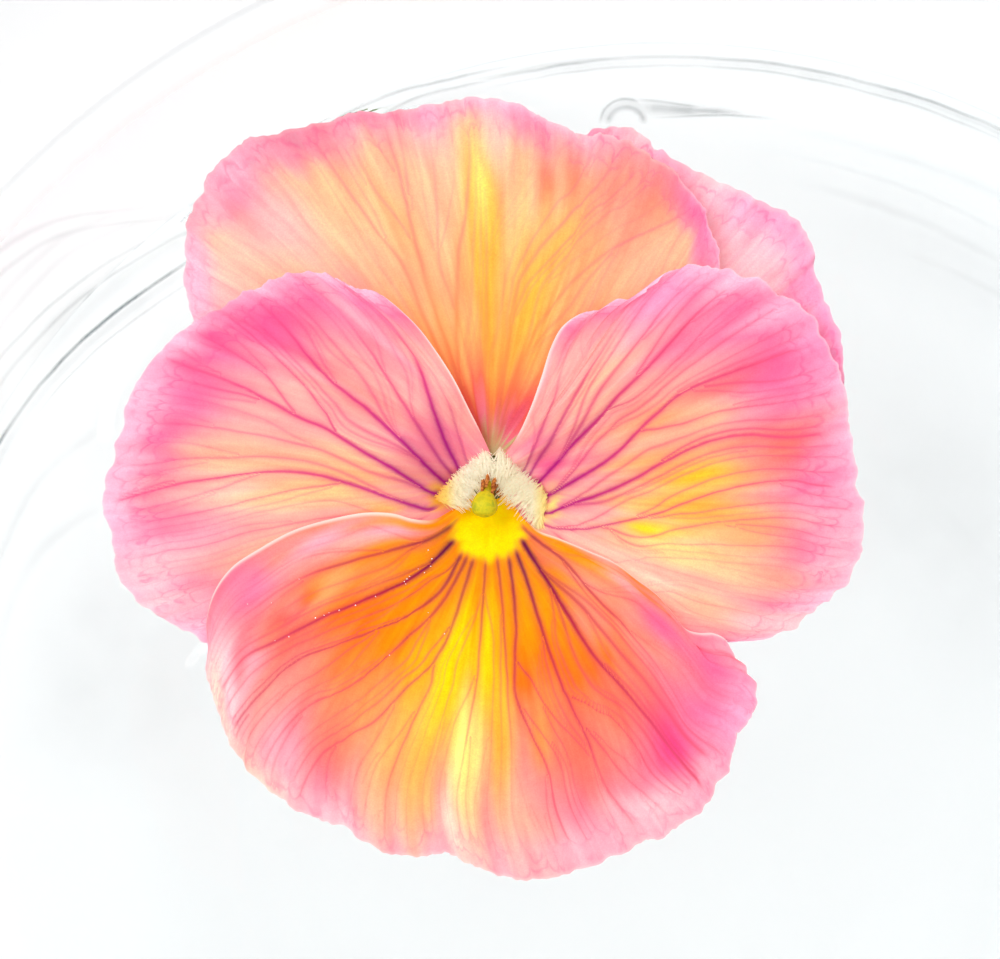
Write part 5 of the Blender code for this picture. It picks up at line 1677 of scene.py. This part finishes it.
def make_stem():
    top = CLAW_HEIGHT - 0.9 - RECEPTACLE_HEIGHT
    share = np.linspace(0.0, 1.0, 40)
    path = np.stack([STEM_SWAY[0] * share**2, STEM_SWAY[1] * share**2, top - STEM_LENGTH * share], axis=1)
    radii = STEM_RADII[0] + (STEM_RADII[1] - STEM_RADII[0]) * share
    radii = radii * np.where(share < 0.03, 0.95, 1.0)
    skin = tissue_material("stem_skin", ["#5f9136", "#7fae4f", "#96bd62"], 400.0, stretch=(1.0, 1.0, 0.15))
    mesh = tubes_mesh("stem", [(path + FLOWER_AXIS, radii, 20)])
    piece("stem_whole", mesh, skin, nodes=["stem"])


def make_bowl():
    half_wall = WALL_THICKNESS / 2.0
    inner, rim = wall_point(RIM_ANGLE), wall_point(RIM_ANGLE, half_wall)
    before = wall_point(RIM_ANGLE - 1.0)
    rise = math.atan2(inner[1] - before[1], inner[0] - before[0])
    wet = [wall_point(a) for a in np.linspace(0.0, WATER_ANGLE + 1.0, 70)]
    profile = wet + [wall_point(a) for a in np.linspace(WATER_ANGLE + 1.0, RIM_ANGLE, 16)[1:]]
    for turn in np.linspace(75.0, -75.0, 11):
        a = rise + math.radians(turn)
        profile.append((rim[0] + half_wall * math.cos(a), rim[1] + half_wall * math.sin(a)))
    foot_angle = math.degrees(math.asin((FOOT_RADIUS + 2.0) / INNER_HALF_WIDTH))
    profile += [wall_point(a, WALL_THICKNESS) for a in np.linspace(RIM_ANGLE, foot_angle, 50)]
    foot = [
        (FOOT_RADIUS + 0.6, FOOT_HEIGHT + 3.0), (FOOT_RADIUS + 0.2, FOOT_HEIGHT), (FOOT_RADIUS, FOOT_EDGE),
        (FOOT_RADIUS - 0.2, 0.2), (FOOT_RADIUS - FOOT_EDGE, 0.0), (FOOT_RECESS_RADIUS + 1.0, 0.0),
        (FOOT_RECESS_RADIUS, 0.3), (FOOT_RECESS_RADIUS - 4.0, FOOT_RECESS_DEPTH), (0.0, FOOT_RECESS_DEPTH),
    ]
    points, quads, caps = lathe(profile + foot, 192)
    mesh = mixed_mesh("bowl", points, quads, caps)
    coat = {"Coat Weight": 0.5, "Coat IOR": GLASS_IOR}
    kinds = [
        clear_material("bowl_glass", GLASS_COLOUR, DRY_GLASS_IOR, ripple=0.05, streaks=GLASS_STREAKS),
        clear_material("bowl_glass_wetted", GLASS_COLOUR, GLASS_IOR / WATER_IOR, ripple=0.05),
        clear_material("bowl_glass_foot", GLASS_COLOUR, 1.0, also=coat),
        # The rim glass's white emission is painted light that pales its grey edges.
        clear_material("bowl_glass_rim", "#fdfeff", DRY_GLASS_IOR, roughness=0.4, also=milky_painted_glow(0.1)),
    ]
    piece("bowl_glass", mesh, kinds, nodes=["bowl"], sharp=50.0)
    for face in mesh.polygons:
        height, radius = face.center.z / MM, math.hypot(face.center.x, face.center.y) / MM
        if height < WATER_LEVEL + 0.8 and radius < WATER_RADIUS + 2.0 and face.normal.z > 0.1:
            face.material_index = 1
        elif height < FOOT_HEIGHT + 7.2 and radius < FOOT_RADIUS + 4.0:
            face.material_index = 2
        elif height > inner[1] - 0.9:
            face.material_index = 3


def make_water(surfaces):
    """The water: its upper side rises at the glass and at the petals, and follows their undersides."""
    trees, edges = [], []
    for surface in surfaces.values():
        plan, under = surface["plan"][::2, ::2], surface["under"][::2, ::2]
        points = np.concatenate([plan, under[..., None]], axis=-1)
        faces = grid_faces(*plan.shape[:2])
        trees.append(BVHTree.FromPolygons(points.reshape(-1, 3).tolist(), faces.tolist()))
        edges += [points[:, 0], points[-1], points[::-1, -1]]
    edges = np.vstack(edges)
    edge, steps = WATER_RADIUS + 0.9, 288
    rings = np.concatenate([np.linspace(0.0, 56.0, 150)[1:], np.linspace(56.0, edge, 40)[1:]])
    top = turned(np.stack([rings, MENISCUS * np.exp((rings - edge) / MENISCUS_REACH)], axis=1), steps)
    height = top[..., 2]
    fx, fy = top[..., 0] - THROAT[0], top[..., 1] - THROAT[1]
    for i in range(len(rings)):
        for j in range(steps):
            px, py = fx[i, j], fy[i, j]
            if px * px + py * py > FLOWER_REACH**2:
                continue
            from_axis = math.hypot(px - RECEPTACLE[0], py - RECEPTACLE[1])
            if from_axis < 2.9:
                height[i, j] = -4.3
                continue
            low = ray_height(trees, px, py)
            if low is not None:
                height[i, j] = min(low - FILM, 1.3 + height[i, j])
                continue
            d = (edges[:, 0] - px) ** 2 + (edges[:, 1] - py) ** 2
            k = int(np.argmin(d))
            rise = min(edges[k, 2] - FILM, 1.1)
            if rise > 0:
                height[i, j] = max(height[i, j], rise * math.exp(-math.sqrt(d[k]) / 1.5))
    height += WATER_LEVEL
    wall_angles = np.linspace(WATER_ANGLE + 1.0, 0.0, 40)
    wall = np.array([wall_point(w, -WATER_GAP) for w in wall_angles])[:-1]
    ends = [[0.0, 0.0, WATER_LEVEL], [0.0, 0.0, FLOOR_THICKNESS + WATER_GAP]]
    points = np.vstack([top.reshape(-1, 3), turned(wall, steps).reshape(-1, 3), ends])
    rows = len(rings) + len(wall)
    middle, floor = len(points) - 2, len(points) - 1
    caps = [cap(middle, 0, steps), cap(floor, (rows - 1) * steps, steps, flip=True)]
    mesh = mixed_mesh("water", points, grid_faces(rows, steps, wrap=True), caps)
    surface = clear_material("water_surface", "#fbfeff", WATER_IOR, ripple=0.02, streaks=WATER_STREAKS)
    inside = clear_material("water_at_glass", "#ffffff", 1.0)
    for face in mesh.polygons:
        if face.normal.z < 0.02:
            face.material_index = 1
    piece("water_body", mesh, [surface, inside], nodes=["water"], sharp=60.0)


# Surroundings


def make_floor():
    mesh = bpy.data.meshes.new("floor")
    corners = [(-2.5, -2.5, 0.0), (2.5, -2.5, 0.0), (2.5, 2.5, 0.0), (-2.5, 2.5, 0.0)]
    mesh.from_pydata(corners, [], [(0, 1, 2, 3)])
    obj = bpy.data.objects.new("floor", mesh)
    obj.location.z = -0.0002
    bpy.context.scene.collection.objects.link(obj)
    made, tree, shader = material("floor_paint")
    place = object_place(tree)
    paint = ramp(tree, noise(tree, place, 6.0, 3.0), colours_at((0.3, "#fbfdff"), (0.7, "#fffffe")))
    away = node(tree, "ShaderNodeVectorMath", operation="LENGTH")
    feed(away.inputs[0], place)
    away = product(tree, away.outputs["Value"], 10.0)
    glow, top = (ramp(tree, away, greys(*((row[0] / 100.0, row[k]) for row in TABLE))) for k in (1, 2))
    settle(shader, {
        "Base Color": mix(tree, paint, top, 1.0, "MULTIPLY"), "Roughness": 0.9, "Specular IOR Level": 0.1,
        "Emission Color": glow, "Emission Strength": 1.0,
    })
    mesh.materials.append(made)


def add_light(name, place, target, size, power, colour=(1.0, 1.0, 1.0)):
    light = bpy.data.lights.new(name, "AREA")
    light.shape = "DISK"
    light.size = size
    light.energy = power
    light.color = colour
    obj = bpy.data.objects.new(name, light)
    obj.location = place
    obj.rotation_euler = (Vector(target) - Vector(place)).to_track_quat("-Z", "Y").to_euler()
    bpy.context.scene.collection.objects.link(obj)


def make_light():
    world = bpy.data.worlds.new("studio")
    bpy.context.scene.world = world
    world.use_nodes = True
    tree = world.node_tree
    background = tree.nodes["Background"]
    height = parts(tree, node(tree, "ShaderNodeTexCoord").outputs["Generated"])["Z"]
    settle(background, {"Color": ramp(tree, height, SKY), "Strength": 0.95})
    add_light("key", (-0.75, 0.55, 1.0), (-0.0138, 0.026, 0.03), 0.9, 7.5)


def make_camera():
    camera = bpy.data.cameras.new("camera")
    camera.sensor_width = SENSOR
    camera.lens = CAMERA_DISTANCE * SENSOR / FRAME_WIDTH
    camera.clip_start = 0.01
    obj = bpy.data.objects.new("camera", camera)
    height = WATER_LEVEL + FLOAT_HEIGHT + CAMERA_DISTANCE
    obj.location = (FRAME_CENTRE[0] * MM, FRAME_CENTRE[1] * MM, height * MM)
    bpy.context.scene.collection.objects.link(obj)
    bpy.context.scene.camera = obj


def main():
    surfaces = make_petals()
    make_spur()
    make_throat(surfaces)
    make_dew(surfaces["petal_lower"])
    make_pistil()
    make_stamens()
    make_calyx()
    make_stem()
    make_bowl()
    make_water(surfaces)
    make_floor()
    make_light()
    make_camera()
    scene = bpy.context.scene
    scene.view_settings.view_transform = "Standard"
    scene.cycles.max_bounces = 16
    scene.cycles.transmission_bounces = 16
    scene.cycles.glossy_bounces = 4
    scene.cycles.diffuse_bounces = 3
    scene.cycles.adaptive_threshold = 0.2
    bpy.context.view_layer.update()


main()
